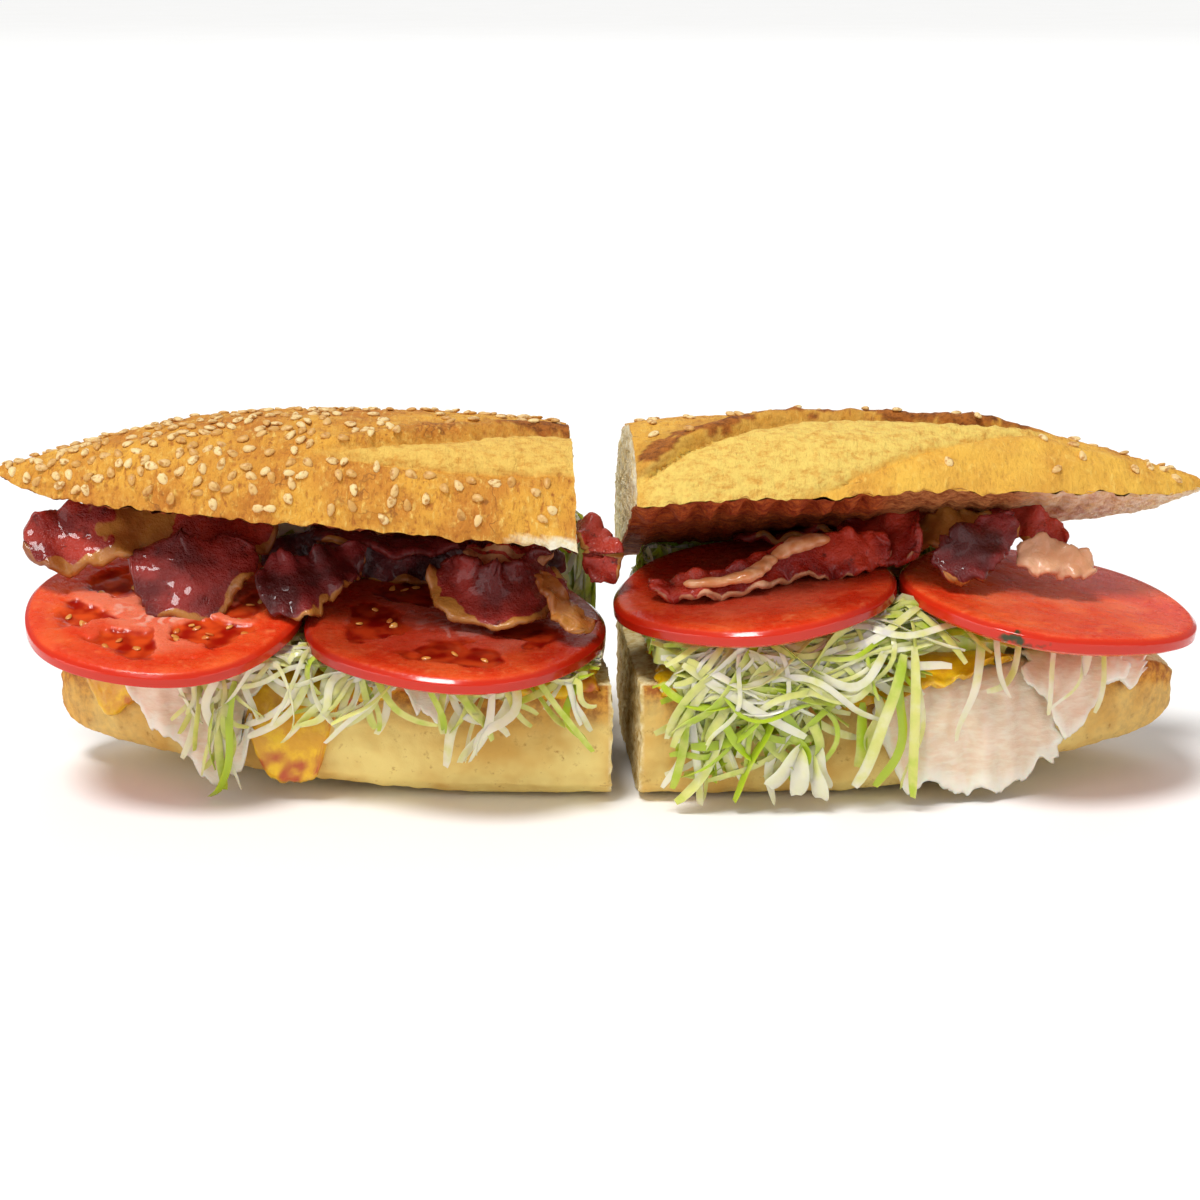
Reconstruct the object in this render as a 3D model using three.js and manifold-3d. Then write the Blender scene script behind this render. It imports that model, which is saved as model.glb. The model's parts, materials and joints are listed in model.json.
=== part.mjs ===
// A hot turkey sandwich on a long seeded roll, cut in two across the middle and set down end to end.
// Millimetres. +X runs along the roll to the right, -Y is the open front, +Z is up.
// Each half holds, from the bottom: base, melted cheese, turkey, lettuce, two tomato slices, bacon, lid.
import * as THREE from "three";
import { mergeVertices } from "three/addons/utils/BufferGeometryUtils.js";
import Module from "manifold-3d";

const wasm = await Module();
wasm.setup();

// ---------------------------------------------------------------- driving dimensions
const ROLL_LENGTH = 305; // a foot-long roll, tip to tip
const ROLL_WIDTH = 76;
const BASE_HEIGHT = 30;
const SHOULDER = 3; // rounding of the base's upper edge
const KNIFE_SLANT = 0.07; // the cross cut leaves the square by this much per mm of depth
const GAP = 0.4; // air left round a piece that is cut back by its neighbours
const CHEESE = 1.5;
const TURKEY = 1.3;
const TOMATO = 4.3;
const BACON = 2.0;
const SHRED = { width: 3, thickness: 1.0 };
const SEED = { length: 3.3, width: 2.2, height: 1.0 };

// Undersides of what lies on the base, as heights above its skin.
const LAYER = { cheese: 0.45, turkey: 2.6, upper: 4.9, lettuce: 5.0, lettuceOverTwo: 7.2 };

const rad = THREE.MathUtils.degToRad;
const HALVES = {
  left: {
    side: -1,
    lidCut: -8.2,
    lidTip: -ROLL_LENGTH / 2,
    lidHeight: 25.5,
    lidTaper: { power: 3, root: 0.8 }, // how its height falls away to the tip
    lidUnder: 61.5, // height of the lid's cut face on the centre line, at the cross cut
    lidRise: 10.3, // and how much higher it is at the tip
    lidTilt: rad(4),
    baseCut: 0.3,
    baseTip: -138.5,
    rocker: { height: 11, length: 105 }, // the base's underside curves up to the tip
    slash: { from: -86, to: 8, axis: (x) => 66 + 0.15 * x, width: 23, lip: 1.2 },
    seeds: { count: 98, from: 4, to: 172, towardsTip: 0.72 },
  },
  right: {
    side: 1,
    lidCut: 6.6,
    lidTip: ROLL_LENGTH / 2,
    lidHeight: 27.5,
    lidTaper: { power: 2.4, root: 0.65 },
    lidUnder: 59.2,
    lidRise: 8.4,
    lidTilt: rad(22.5),
    baseCut: 7.3,
    baseTip: 147,
    rocker: { height: 12, length: 90 },
    slash: { from: -8, to: 118, axis: (x) => 8 + 0.005 * x * x, width: 19, lip: 1.7 },
    seeds: { count: 46, from: 16, to: 172, towardsTip: 0.9 },
  },
};
const TIP_LIFT = { height: 4, length: 20 }; // the pointed tips belong to the lids and turn up

// Tomato slices: middle of the upper face, radius, and that face's slopes towards the back and the right.
const TOMATOES = {
  tomato_left_1: { at: [-107.4, -22, 46.1], radius: 34, back: 0.23, right: -0.03 },
  tomato_left_2: { at: [-35.5, -22, 42.9], radius: 37, back: 0.13, right: -0.03 },
  tomato_right_1: { at: [38, -17, 51], radius: 34.8, back: 0.09, right: 0.085 },
  tomato_right_2: { at: [111, -15, 48], radius: 36.8, back: 0.05, right: -0.13 },
};

// ---------------------------------------------------------------- small helpers
const clamp = THREE.MathUtils.clamp;
const mix = THREE.MathUtils.lerp;
const bump = (t) => (Math.abs(t) < 1 ? (1 - t * t) ** 2 : 0);
const eased = (t) => t * t * (3 - 2 * t);

// A seeded draw, so that every run places the same seeds and shreds.
function draws(seed) {
  let state = seed;
  return (low = 0, high = 1) => {
    state = (state * 16807) % 2147483647;
    return low + ((high - low) * state) / 2147483647;
  };
}

// Slow unevenness between -1 and 1, as baked and torn food has.
function wobble(a, b, seed = 0) {
  const s = seed * 1.7;
  const waves = [0.11 * a + 0.07 * b + s, 0.23 * a - 0.17 * b + 2.1 * s, 0.05 * a + 0.31 * b - s];
  return waves.reduce((sum, wave) => sum + Math.sin(wave), 0) / 3;
}

// A value read off a list of [place, value] pairs, straight or eased from each pair to the next.
function along(pairs, place, step = eased) {
  if (place <= pairs[0][0]) return pairs[0][1];
  for (let i = 1; i < pairs.length; i++) {
    if (place > pairs[i][0]) continue;
    const t = (place - pairs[i - 1][0]) / (pairs[i][0] - pairs[i - 1][0]);
    return mix(pairs[i - 1][1], pairs[i][1], step(t));
  }
  return pairs.at(-1)[1];
}

// ---------------------------------------------------------------- closed meshes
function solidOf(points, triangles) {
  const geometry = new THREE.BufferGeometry();
  geometry.setAttribute("position", new THREE.Float32BufferAttribute(points.flat(), 3));
  geometry.setIndex(triangles.flat());
  const merged = mergeVertices(geometry, 1e-3);
  const vertProperties = merged.attributes.position.array;
  const build = (triVerts) => new wasm.Manifold(new wasm.Mesh({ numProp: 3, vertProperties, triVerts }));
  const index = Uint32Array.from(merged.index.array);
  const solid = build(index);
  return solid.volume() > 0 ? solid : build(index.reverse());
}

// A thin solid between two surfaces that are split into triangles alike.
function sheet(nu, nv, over, under) {
  const points = [];
  for (const face of [over, under])
    for (let i = 0; i <= nu; i++)
      for (let j = 0; j <= nv; j++) points.push(face(i / nu, j / nv));
  const at = (face, i, j) => face * (nu + 1) * (nv + 1) + i * (nv + 1) + j;
  const triangles = [];
  const quad = (a, b, c, d) => triangles.push([a, b, c], [a, c, d]);
  for (let i = 0; i < nu; i++)
    for (let j = 0; j < nv; j++) {
      quad(at(0, i, j), at(0, i + 1, j), at(0, i + 1, j + 1), at(0, i, j + 1));
      quad(at(1, i, j), at(1, i, j + 1), at(1, i + 1, j + 1), at(1, i + 1, j));
    }
  for (let i = 0; i < nu; i++) {
    quad(at(0, i, 0), at(1, i, 0), at(1, i + 1, 0), at(0, i + 1, 0));
    quad(at(0, i, nv), at(0, i + 1, nv), at(1, i + 1, nv), at(1, i, nv));
  }
  for (let j = 0; j < nv; j++) {
    quad(at(0, 0, j), at(0, 0, j + 1), at(1, 0, j + 1), at(1, 0, j));
    quad(at(0, nu, j), at(1, nu, j), at(1, nu, j + 1), at(0, nu, j + 1));
  }
  return solidOf(points, triangles);
}

// A solid through closed rings of points, with a fan over each end.
function loft(rings) {
  const n = rings[0].length;
  const points = rings.flat();
  const triangles = [];
  for (let i = 0; i < rings.length - 1; i++)
    for (let j = 0; j < n; j++) {
      const [a, b] = [i * n + j, i * n + ((j + 1) % n)];
      triangles.push([a, b, b + n], [a, b + n, a + n]);
    }
  const middleOf = (ring) => [0, 1, 2].map((k) => ring.reduce((sum, p) => sum + p[k], 0) / n);
  for (const [ring, start, turned] of [
    [rings[0], 0, true],
    [rings.at(-1), (rings.length - 1) * n, false],
  ]) {
    const middle = points.push(middleOf(ring)) - 1;
    for (let j = 0; j < n; j++) {
      const pair = [start + j, start + ((j + 1) % n)];
      triangles.push(turned ? [pair[1], pair[0], middle] : [pair[0], pair[1], middle]);
    }
  }
  return solidOf(points, triangles);
}

function geometryOf(solid) {
  const { vertProperties, triVerts } = solid.getMesh();
  const geometry = new THREE.BufferGeometry();
  geometry.setAttribute("position", new THREE.BufferAttribute(Float32Array.from(vertProperties), 3));
  geometry.setIndex(Array.from(triVerts));
  return geometry;
}

// ---------------------------------------------------------------- fitting pieces to each other
// The same solid a little larger all round, to cut a neighbour back with.
function swollen(solid, by) {
  const geometry = geometryOf(solid);
  geometry.computeVertexNormals();
  const { position, normal } = geometry.attributes;
  const vertProperties = position.array.map((value, i) => value + by * normal.array[i]);
  const triVerts = Uint32Array.from(geometry.index.array);
  return new wasm.Manifold(new wasm.Mesh({ numProp: 3, vertProperties, triVerts }));
}

const touches = (a, b) => {
  const [p, q] = [a.boundingBox(), b.boundingBox()];
  return [0, 1, 2].every((k) => p.min[k] < q.max[k] + GAP && q.min[k] < p.max[k] + GAP);
};

const largest = (solid) => solid.decompose().sort((a, b) => b.volume() - a.volume())[0];

// What is left of a solid once its neighbours, and the air round them, are taken away.
function clearOf(solid, neighbours) {
  let left = solid;
  for (const other of neighbours) {
    if (!touches(left, other)) continue;
    const grown = swollen(other, GAP + 0.1);
    if (left.intersect(grown).volume() > 0) left = left.subtract(grown);
  }
  return left === solid ? solid : largest(left.simplify(0.05));
}

// ---------------------------------------------------------------- the roll
const planTaper = (t, power, root) => (1 - (1 - clamp(t, 0, 1)) ** power) ** root;

// Share of the way from a half's cross cut (0) to its tip (1).
const outward = (half, part, x) => (x - half[part + "Cut"]) / (half[part + "Tip"] - half[part + "Cut"]);

// The knife went in a little askew, so the cut ends lean; towards the tips this fades out.
const knife = (half, part, x, y) => -KNIFE_SLANT * y * (1 - clamp(outward(half, part, x), 0, 1));

// Stations from the cross cut to the tip, closer together where the roll narrows.
const stations = (count, last) =>
  Array.from({ length: count + 1 }, (_, i) => Math.min(last, Math.sin((i / count) * (Math.PI / 2))));

// Half the base's width at x, with the skin grown outwards by an offset.
function baseHalfWidth(half, x, offset = 0) {
  const length = Math.abs(half.baseTip - half.baseCut) + offset;
  const fromTip = (half.baseTip - x) * half.side + offset;
  return (ROLL_WIDTH / 2 + offset) * planTaper(fromTip / length, 2.6, 0.6);
}

// The base's section: share of the half width at each height, up to where the shoulder turns in.
const SIDE = [
  [0, 0.68],
  [1.5, 0.86],
  [5, 0.96],
  [12, 1],
  [20, 0.995],
  [BASE_HEIGHT - SHOULDER, 0.955],
];
const sideShare = (z) => along(SIDE, z, (t) => t);

// How far from the centre line the shoulder begins, and the length of its arc.
function shoulderAt(half, x, offset) {
  const width = baseHalfWidth(half, x, offset);
  const radius = Math.min(SHOULDER + offset, width / 2);
  return { width, radius, edge: SIDE.at(-1)[1] * width - radius, arc: (radius * Math.PI) / 2 };
}

// A point on the base's skin, or on a surface at an offset over it. q runs over it from back to front:
// 0 on the centre line, growing over the shoulder and down the crust, straight down below its widest.
function skin(half, x, q, offset = 0) {
  const { width, radius, edge, arc } = shoulderAt(half, x, offset);
  const facing = q < 0 ? 1 : -1;
  const past = Math.abs(q) - edge;
  const top = BASE_HEIGHT + offset;
  if (past <= 0) return [facing * Math.abs(q), top];
  if (past < arc) {
    const turn = past / radius;
    return [facing * (edge + radius * Math.sin(turn)), top - radius * (1 - Math.cos(turn))];
  }
  const z = top - radius - (past - arc);
  return [facing * sideShare(Math.max(z, SIDE[3][0])) * width, z];
}

function baseOf(half) {
  const rings = stations(12, 0.997).map((t) => {
    const x = mix(half.baseCut, half.baseTip, t);
    const { width, radius, edge, arc } = shoulderAt(half, x, 0);
    const fromTip = Math.abs(half.baseTip - x);
    const low = half.rocker.height * clamp(1 - fromTip / half.rocker.length, 0, 1) ** 1.3;
    const high = BASE_HEIGHT - 3 * clamp(1 - fromTip / 20, 0, 1) ** 2;
    const squeeze = (z) => low + (z * (high - low)) / BASE_HEIGHT;
    const dent = (y) => 0.6 * bump(y / (0.8 * width)); // the crumb gives a little under the filling
    const front = SIDE.map(([z, share]) => {
      const sunk = z > 1.5 && z < 22 ? 0.5 + 0.5 * wobble(x, z, half.side) : 0;
      return [-share * width + 0.5 * sunk, z];
    });
    front.push([-edge - radius * Math.SQRT1_2, skin(half, x, edge + arc / 2)[1]]);
    front.push([-edge, BASE_HEIGHT]);
    front.push([-edge * 0.4, BASE_HEIGHT - dent(edge * 0.4)]);
    const ring = [...front, ...front.map(([y, z]) => [-y, z]).reverse()];
    return ring.map(([y, z]) => [x + knife(half, "base", x, y), y, squeeze(z)]);
  });
  return loft(rings);
}

// Height of the lid's cut face on the centre line, a share t of the way out.
function lidMiddle(half, t) {
  const x = mix(half.lidCut, half.lidTip, t);
  const nearTip = clamp(1 - Math.abs(half.lidTip - x) / TIP_LIFT.length, 0, 1);
  return half.lidUnder + half.lidRise * t ** 0.8 + TIP_LIFT.height * nearTip ** 2;
}

// Height of the same face over any place of the sandwich.
const lidUnderside = (half, x, y) =>
  lidMiddle(half, clamp(outward(half, "lid", x), 0, 1)) - y * Math.tan(half.lidTilt);

// The baker's slash is a long lens on the crust: its axis and half width, in degrees round the crust.
function slashAt(half, x) {
  const { from, to, axis, width } = half.slash;
  const lens = 1 - ((x - (from + to) / 2) / ((to - from) / 2)) ** 2;
  return { axis: axis(clamp(x, from, to)), reach: width * Math.sqrt(Math.max(lens, 0)) };
}

// In it the crumb has swollen into a pale bloom, under a lip of crust that stands proud above it.
// share runs across the lens, -1 and 1 at its edges.
function slashRelief(share, reach, lip) {
  const depth = clamp(reach / 8, 0, 1);
  return depth * (0.8 * bump(share) + lip * bump((share - 1.3) / 0.45) - 1.1 * bump((share - 0.88) / 0.3));
}

// A point of the lid's crust: t along it, degrees round it from the front edge (0) to the back edge (180).
function lidPoint(half, t, degrees, proud = 0) {
  const a = (ROLL_WIDTH / 2) * planTaper(1 - t, 2.4, 0.75);
  const b = half.lidHeight * planTaper(1 - t, half.lidTaper.power, half.lidTaper.root);
  const x = mix(half.lidCut, half.lidTip, t);
  const { axis, reach } = slashAt(half, x);
  const slash = reach > 0 ? slashRelief((degrees - axis) / Math.max(reach, 6), reach, half.slash.lip) : 0;
  const relief = (slash + 0.5 * wobble(x, degrees, 3)) * Math.min(1, b / 12) + proud;
  const [cosine, sine] = [Math.cos(rad(degrees)), Math.sin(rad(degrees))];
  const full = 0.92; // the section is a little fuller than an ellipse
  const forward = Math.sign(cosine) * a * Math.abs(cosine) ** full + relief * cosine;
  const up = b * Math.abs(sine) ** full + relief * sine;
  const y = -forward * Math.cos(half.lidTilt) + up * Math.sin(half.lidTilt);
  const z = lidMiddle(half, t) + forward * Math.sin(half.lidTilt) + up * Math.cos(half.lidTilt);
  return [x + knife(half, "lid", x, y), y, z];
}

// Degrees round the crust at which its rows of points run: some follow the slash, the rest fill the round.
function lidRows(half, x) {
  const slash = slashAt(half, x);
  const reach = Math.max(slash.reach, 7);
  const follow = [-1, -0.5, 0, 0.5, 0.85, 1.25, 1.7].map((share) => slash.axis + share * reach);
  const floor = 5;
  const shifted = follow.map((degrees, i) =>
    clamp(degrees, floor * (1 + 0.5 * i), 172 - 4 * (follow.length - i)),
  );
  const low = [0, 1 / 3, 2 / 3].map((share) => share * shifted[0]);
  const high = [1, 2, 3, 4, 5, 6].map((i) => mix(shifted.at(-1), 180, i / 6));
  return [...low, ...shifted, ...high];
}

function lidOf(half, seeds) {
  const across = 5;
  const rings = stations(14, 0.9985).map((t) => {
    const rows = lidRows(half, mix(half.lidCut, half.lidTip, t));
    const ring = rows.map((degrees) => lidPoint(half, t, degrees));
    const [front, back] = [ring[0], ring.at(-1)];
    for (let j = 1; j < across; j++) {
      const torn = 0.5 * wobble(front[0], (40 * j) / across, 5) * Math.min(1, 4 * (1 - t));
      ring.push(front.map((value, k) => mix(back[k], value, j / across) + (k === 2 ? torn : 0)));
    }
    return ring;
  });
  return largest(wasm.Manifold.union([loft(rings), ...seeds]));
}

// A sesame seed: a low dome of six sides, longer than wide and blunter at one end.
function seedAt(middle, long, wide, out) {
  const rim = Array.from({ length: 6 }, (_, i) => {
    const angle = (i / 6) * 2 * Math.PI;
    const narrow = 1 - 0.25 * Math.cos(angle);
    return [(SEED.length / 2) * Math.cos(angle), (SEED.width / 2) * narrow * Math.sin(angle), -0.45];
  });
  const points = [...rim, [-0.25, 0, SEED.height - 0.15], [0, 0, -1.2]].map(([a, b, c]) =>
    middle.clone().addScaledVector(long, a).addScaledVector(wide, b).addScaledVector(out, c).toArray(),
  );
  const around = rim.map((_, i) => [i, (i + 1) % 6]);
  const [crown, root] = [6, 7];
  return solidOf(points, around.flatMap(([i, j]) => [[i, j, crown], [j, i, root]]));
}

// Seeds strewn over the crust; none lies on the bloom of the slash.
function seedsOn(half, random) {
  const { count, from, to, towardsTip } = half.seeds;
  const made = [];
  const places = [];
  while (made.length < count) {
    const t = 1 - random() ** (1 / towardsTip);
    const degrees = mix(from, to, random() ** 1.4);
    const { axis, reach } = slashAt(half, mix(half.lidCut, half.lidTip, t));
    if (t > 0.98 || t < 0.02 || Math.abs(degrees - axis) < 1.2 * reach) continue;
    const middle = new THREE.Vector3(...lidPoint(half, t, degrees));
    if (places.some((place) => place.distanceTo(middle) < 1.3 * SEED.length)) continue;
    places.push(middle);
    const out = new THREE.Vector3(...lidPoint(half, t, degrees, 1)).sub(middle).normalize();
    const way = new THREE.Vector3(...lidPoint(half, t + 0.01, degrees)).sub(middle);
    const wide = new THREE.Vector3().crossVectors(out, way).normalize();
    wide.applyAxisAngle(out, random(0, Math.PI));
    const long = new THREE.Vector3().crossVectors(wide, out);
    made.push(seedAt(middle, long, wide, out));
  }
  return made;
}

// ---------------------------------------------------------------- what lies on the base
// A thin layer laid over the base from behind the centre line to a front line, given in mm past the place
// where the shoulder begins. Where that is far enough it bends over the shoulder and hangs down the crust.
function laid(half, { x0, x1, back, front, height, thick, ripple = 0, ragged = 1, seed = 1 }) {
  const columns = Math.max(5, Math.round(Math.abs(x1 - x0) / 8));
  const knots = [0, 0.45, 1, 1.33, 1.66, 2, 2.33, 2.66, 3]; // 1 and 2 bound the shoulder, 3 is the edge
  const place = (u, v) => {
    const x = mix(x0, x1, u) + ragged * 1.5 * wobble(40 * v, 9, seed) * (2 * u - 1);
    const { edge, arc } = shoulderAt(half, x, height);
    const far = edge + along(front, x) + ragged * 0.7 * Math.sin(x * 1.1 + seed);
    const near = -Math.min(edge - 2, back) + ragged * wobble(x * 3, 5, seed);
    const full = Math.max(far, edge + arc + 0.1);
    const knot = knots[Math.round(v * (knots.length - 1))];
    const q = along([[0, near], [1, edge], [2, edge + arc], [3, full]], knot, (t) => t);
    return [x, near + ((q - near) * (far - near)) / (full - near)];
  };
  const at = (u, v, lift) => {
    const [x, q] = place(u, v);
    const { edge, arc } = shoulderAt(half, x, height);
    const rise = ripple * (0.5 + 0.5 * Math.sin(x * 0.42 + seed + 0.05 * q)) + lift;
    const grown = shoulderAt(half, x, height + rise);
    // the same share of the shoulder's turn on both faces, so that they stay parallel
    const past = q - edge;
    const turned = past <= 0 ? past : past < arc ? (past / arc) * grown.arc : grown.arc + past - arc;
    const [y, z] = skin(half, x, q < 0 ? q : grown.edge + turned, height + rise);
    return [x + knife(half, "base", x, y), y, Math.max(z, 0.6)];
  };
  const thin = (u, v) => (Math.min(u, 1 - u, 1 - v) < 0.01 ? 0.45 : 1);
  const rows = knots.length - 1;
  return sheet(columns, rows, (u, v) => at(u, v, thick * thin(u, v)), (u, v) => at(u, v, 0));
}

// Melted cheese hugs the crumb and has run over the crust where it was hottest.
const cheeseOf = (half, x0, x1, front, seed) =>
  laid(half, { x0, x1, back: 33, front, height: LAYER.cheese, thick: CHEESE, ragged: 0.5, seed });

// Shaved turkey lies in soft folds with torn edges.
const turkeyOf = (half, x0, x1, front, seed, height = LAYER.turkey, back = 31) =>
  laid(half, { x0, x1, back, front, height, thick: TURKEY, ripple: 0.3, seed });

// ---------------------------------------------------------------- tomato
const tomatoTop = ({ at, back, right }, x, y) => at[2] + (y - at[1]) * back + (x - at[0]) * right;

// A round slice: the upper face is sunk over the seed chambers, the skin is a round edge.
function tomatoOf(slice, seed) {
  const { at, radius, back, right } = slice;
  const sides = 18;
  const chambers = 0.6; // share of the radius at which the chambers lie
  const rings = [
    [0.3, 0],
    [chambers, -0.6],
    [0.86, 0],
    [1, -0.25 * TOMATO],
    [1, -0.75 * TOMATO],
    [0.9, -TOMATO],
  ];
  const plane = new THREE.Matrix4().makeBasis(
    new THREE.Vector3(1, 0, right).normalize(),
    new THREE.Vector3(0, 1, back).normalize(),
    new THREE.Vector3(-right, -back, 1).normalize(),
  );
  return loft(
    rings.map(([share, depth]) =>
      Array.from({ length: sides }, (_, i) => {
        const angle = (i / sides) * 2 * Math.PI;
        const uneven = 1 + 0.012 * Math.sin(5 * angle + seed) + 0.01 * Math.sin(3 * angle - seed);
        const round = radius * share * uneven;
        const sunk = share === chambers ? 0.5 + 0.5 * Math.sin(5 * angle + seed) : 1;
        const local = new THREE.Vector3(round * Math.cos(angle), round * Math.sin(angle), depth * sunk);
        return local.applyMatrix4(plane).add(new THREE.Vector3(...at)).toArray();
      }),
    ),
  );
}

// ---------------------------------------------------------------- bacon
// A rasher along a path set by hand. lean is how steeply it stands, in degrees: 0 lies flat, 90 is on edge.
function rasher({ path, width, lean, ruffle = 1.2, waves = 3, seed = 0 }) {
  const curve = new THREE.CatmullRomCurve3(path.map((p) => new THREE.Vector3(...p)));
  const leans = lean.map((value, i) => [i / (lean.length - 1), value]);
  const frameAt = (u) => {
    const tangent = curve.getTangent(u);
    const level = new THREE.Vector3(0, 0, 1).cross(tangent).normalize();
    if (level.y < 0) level.negate(); // it points to the back of the sandwich
    const upward = new THREE.Vector3().crossVectors(tangent, level).normalize();
    if (upward.z < 0) upward.negate();
    const angle = rad(along(leans, u));
    const across = level.clone().multiplyScalar(Math.cos(angle)).addScaledVector(upward, Math.sin(angle));
    const out = level.clone().multiplyScalar(-Math.sin(angle)).addScaledVector(upward, Math.cos(angle));
    return { middle: curve.getPoint(u), across, out };
  };
  const at = (u, v, side) => {
    const { middle, across, out } = frameAt(u);
    const end = 1 - 0.25 * Math.abs(2 * u - 1) ** 4;
    const reach = (v - 0.5) * width * end * (1 + 0.08 * Math.sin(9 * u + seed));
    const wave = ruffle * Math.sin(2 * Math.PI * waves * u + seed + 1.2 * (v - 0.5));
    const thick = v > 0.1 && v < 0.9 ? BACON : BACON * 0.6;
    const point = middle.clone().addScaledVector(across, reach);
    return point.addScaledVector(out, wave + (side * thick) / 2).toArray();
  };
  const columns = clamp(Math.round(waves * 4), 7, 12);
  return sheet(columns, 3, (u, v) => at(u, v, 1), (u, v) => at(u, v, -1));
}

const RASHERS = {
  bacon_left_1: {
    path: [[-143, -13, 61], [-130, -12, 62], [-114, -8, 62.5], [-94, -4, 62], [-82, 0, 62]],
    width: 18,
    lean: [55, 50, 35],
    seed: 1,
  },
  bacon_left_2: {
    path: [[-88, -12, 57], [-94, -17, 55], [-102, -20, 54], [-110, -19, 54.5], [-117, -16, 56]],
    width: 20,
    lean: [40, 52, 45],
    ruffle: 0.8,
    waves: 1.5,
    seed: 2,
  },
  bacon_left_3: {
    path: [[-60, -8, 56], [-66, -15, 53.5], [-74, -21, 51.5], [-82, -27, 50]],
    width: 18,
    lean: [20, 35, 35],
    seed: 0.6,
  },
  bacon_left_4: {
    path: [[-42, -15, 53.5], [-35, -22, 50.5], [-24, -27, 48.5], [-14, -23, 50], [-9, -14, 53]],
    width: 18,
    lean: [50, 58, 50],
    ruffle: 0.6,
    waves: 1,
    seed: 4,
  },
  bacon_left_5: {
    path: [[-74, 4, 60], [-56, 4, 58.5], [-38, 4, 57.5], [-22, 4, 56.5], [-12, 3, 56.5]],
    width: 18,
    lean: [10, 14, 10],
    ruffle: 0.7,
    seed: 5,
  },
  bacon_left_6: {
    path: [[-12, -29, 52.5], [-8, -32, 49.5], [-4, -35, 46], [-2, -37, 42.5]],
    width: 10,
    lean: [10, 0, -10],
    ruffle: 0.5,
    waves: 1,
    seed: 6,
  },
  bacon_left_7: {
    path: [[-5, -7, 61], [-1, -10, 62.5], [2, -14, 60], [3.5, -18, 56.5], [4.5, -22, 53]],
    width: 11,
    lean: [20, 25, 30],
    ruffle: 0.6,
    waves: 1.5,
    seed: 7,
  },
  bacon_right_1: {
    path: [[13, -19, 52.5], [26, -25, 53.5], [39, -16, 55.3], [50, -8, 57], [62, -5, 58], [71, -9, 57.5]],
    width: 15,
    lean: [20, 25, 35],
    ruffle: 1.0,
    waves: 3.5,
    seed: 8,
  },
  bacon_right_2: {
    path: [[66, 0, 61.5], [72, -6, 61], [77, -12, 59.5], [81, -18, 57.5]],
    width: 14,
    lean: [20, 45, 60],
    ruffle: 0.5,
    waves: 1,
    seed: 9,
  },
  bacon_right_3: {
    path: [[84, -25, 57.5], [90, -22, 60], [96, -17, 62.5], [101, -12, 65]],
    width: 14,
    lean: [50, 50, 45],
    ruffle: 0.8,
    waves: 1.5,
    seed: 10,
  },
  bacon_right_4: {
    path: [[94, -3, 62.5], [103, -5, 62], [111, -7, 60.5], [118, -8, 59]],
    width: 12,
    lean: [35, 45, 55],
    ruffle: 0.9,
    waves: 2,
    seed: 11,
  },
  bacon_right_5: {
    path: [[103, -17, 58], [110, -18, 57.5], [117, -18, 56], [122, -17, 54.5]],
    width: 10,
    lean: [50, 50, 40],
    ruffle: 0.6,
    waves: 1.5,
    seed: 12,
  },
  bacon_right_6: {
    path: [[34, 9, 56], [50, 10, 57.5], [68, 11, 58], [86, 11, 57]],
    width: 16,
    lean: [-6, -6, -6],
    ruffle: 0.7,
    waves: 3,
    seed: 13,
  },
};

// ---------------------------------------------------------------- lettuce
// The heap fills the room between the turkey and the tomatoes. Behind them it rises to carry the lid.
const HEAP = { front: 47, back: 60, underLid: 1.8 };

function heapOf(half, x0, x1, slices, floorAt, random) {
  const room = (x, y) => {
    const behind = eased(clamp((y - 6) / 10, 0, 1));
    const rise = mix(HEAP.front, HEAP.back, behind) + wobble(3 * x, 3 * y, 2);
    let top = Math.min(rise, lidUnderside(half, x, y) - HEAP.underLid);
    for (const slice of slices) {
      const distance = Math.hypot(x - slice.at[0], y - slice.at[1]);
      if (distance > slice.radius + 3) continue;
      top = Math.min(top, tomatoTop(slice, x, y) - TOMATO * 1.08 - GAP - 0.3);
    }
    return top;
  };
  const at = (u, v, over) => {
    const x = mix(x0, x1, u);
    const { edge } = shoulderAt(half, x, 0);
    const y = mix(edge + 1, -edge - 2.5, v) + 0.8 * wobble(4 * x, 60 * v, 4);
    const low = BASE_HEIGHT + floorAt(x);
    const rim = v < 0.01 ? 0.6 : Math.min(u, 1 - u, 1 - v) < 0.01 ? 0.35 : 1;
    const high = Math.max(room(x, y) + random(-0.8, 0), low + 1.2);
    return [x + knife(half, "base", x, y), y, over ? mix(low, high, rim) : low];
  };
  return sheet(11, 6, (u, v) => at(u, v, true), (u, v) => at(u, v, false));
}

// One shred: a flat strip that starts inside the heap and hangs over the shoulder.
function shred(half, { x, drift, hang, height, width }) {
  const steps = 4;
  const start = -9;
  const middle = (u) => {
    const px = x + drift * eased(u);
    const { edge } = shoulderAt(half, px, height);
    const [y, z] = skin(half, px, edge + mix(start, hang, u), height);
    return new THREE.Vector3(px + knife(half, "base", px, y), y, Math.max(z, 1));
  };
  const at = (u, v, lift) => {
    const centre = middle(u);
    const tangent = middle(u + 0.02).sub(middle(u - 0.02)).normalize();
    const across = new THREE.Vector3(1, 0, 0).addScaledVector(tangent, -tangent.x).normalize();
    const out = new THREE.Vector3().crossVectors(across, tangent).normalize();
    if (out.z - out.y < 0) out.negate();
    const taper = 1 - 0.45 * Math.abs(2 * u - 1) ** 3;
    return centre.addScaledVector(across, (v - 0.5) * width * taper).addScaledVector(out, lift).toArray();
  };
  return sheet(steps, 1, (u, v) => at(u, v, SHRED.thickness), (u, v) => at(u, v, 0));
}

// ---------------------------------------------------------------- the pieces, lowest first
const { left, right } = HALVES;

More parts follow.
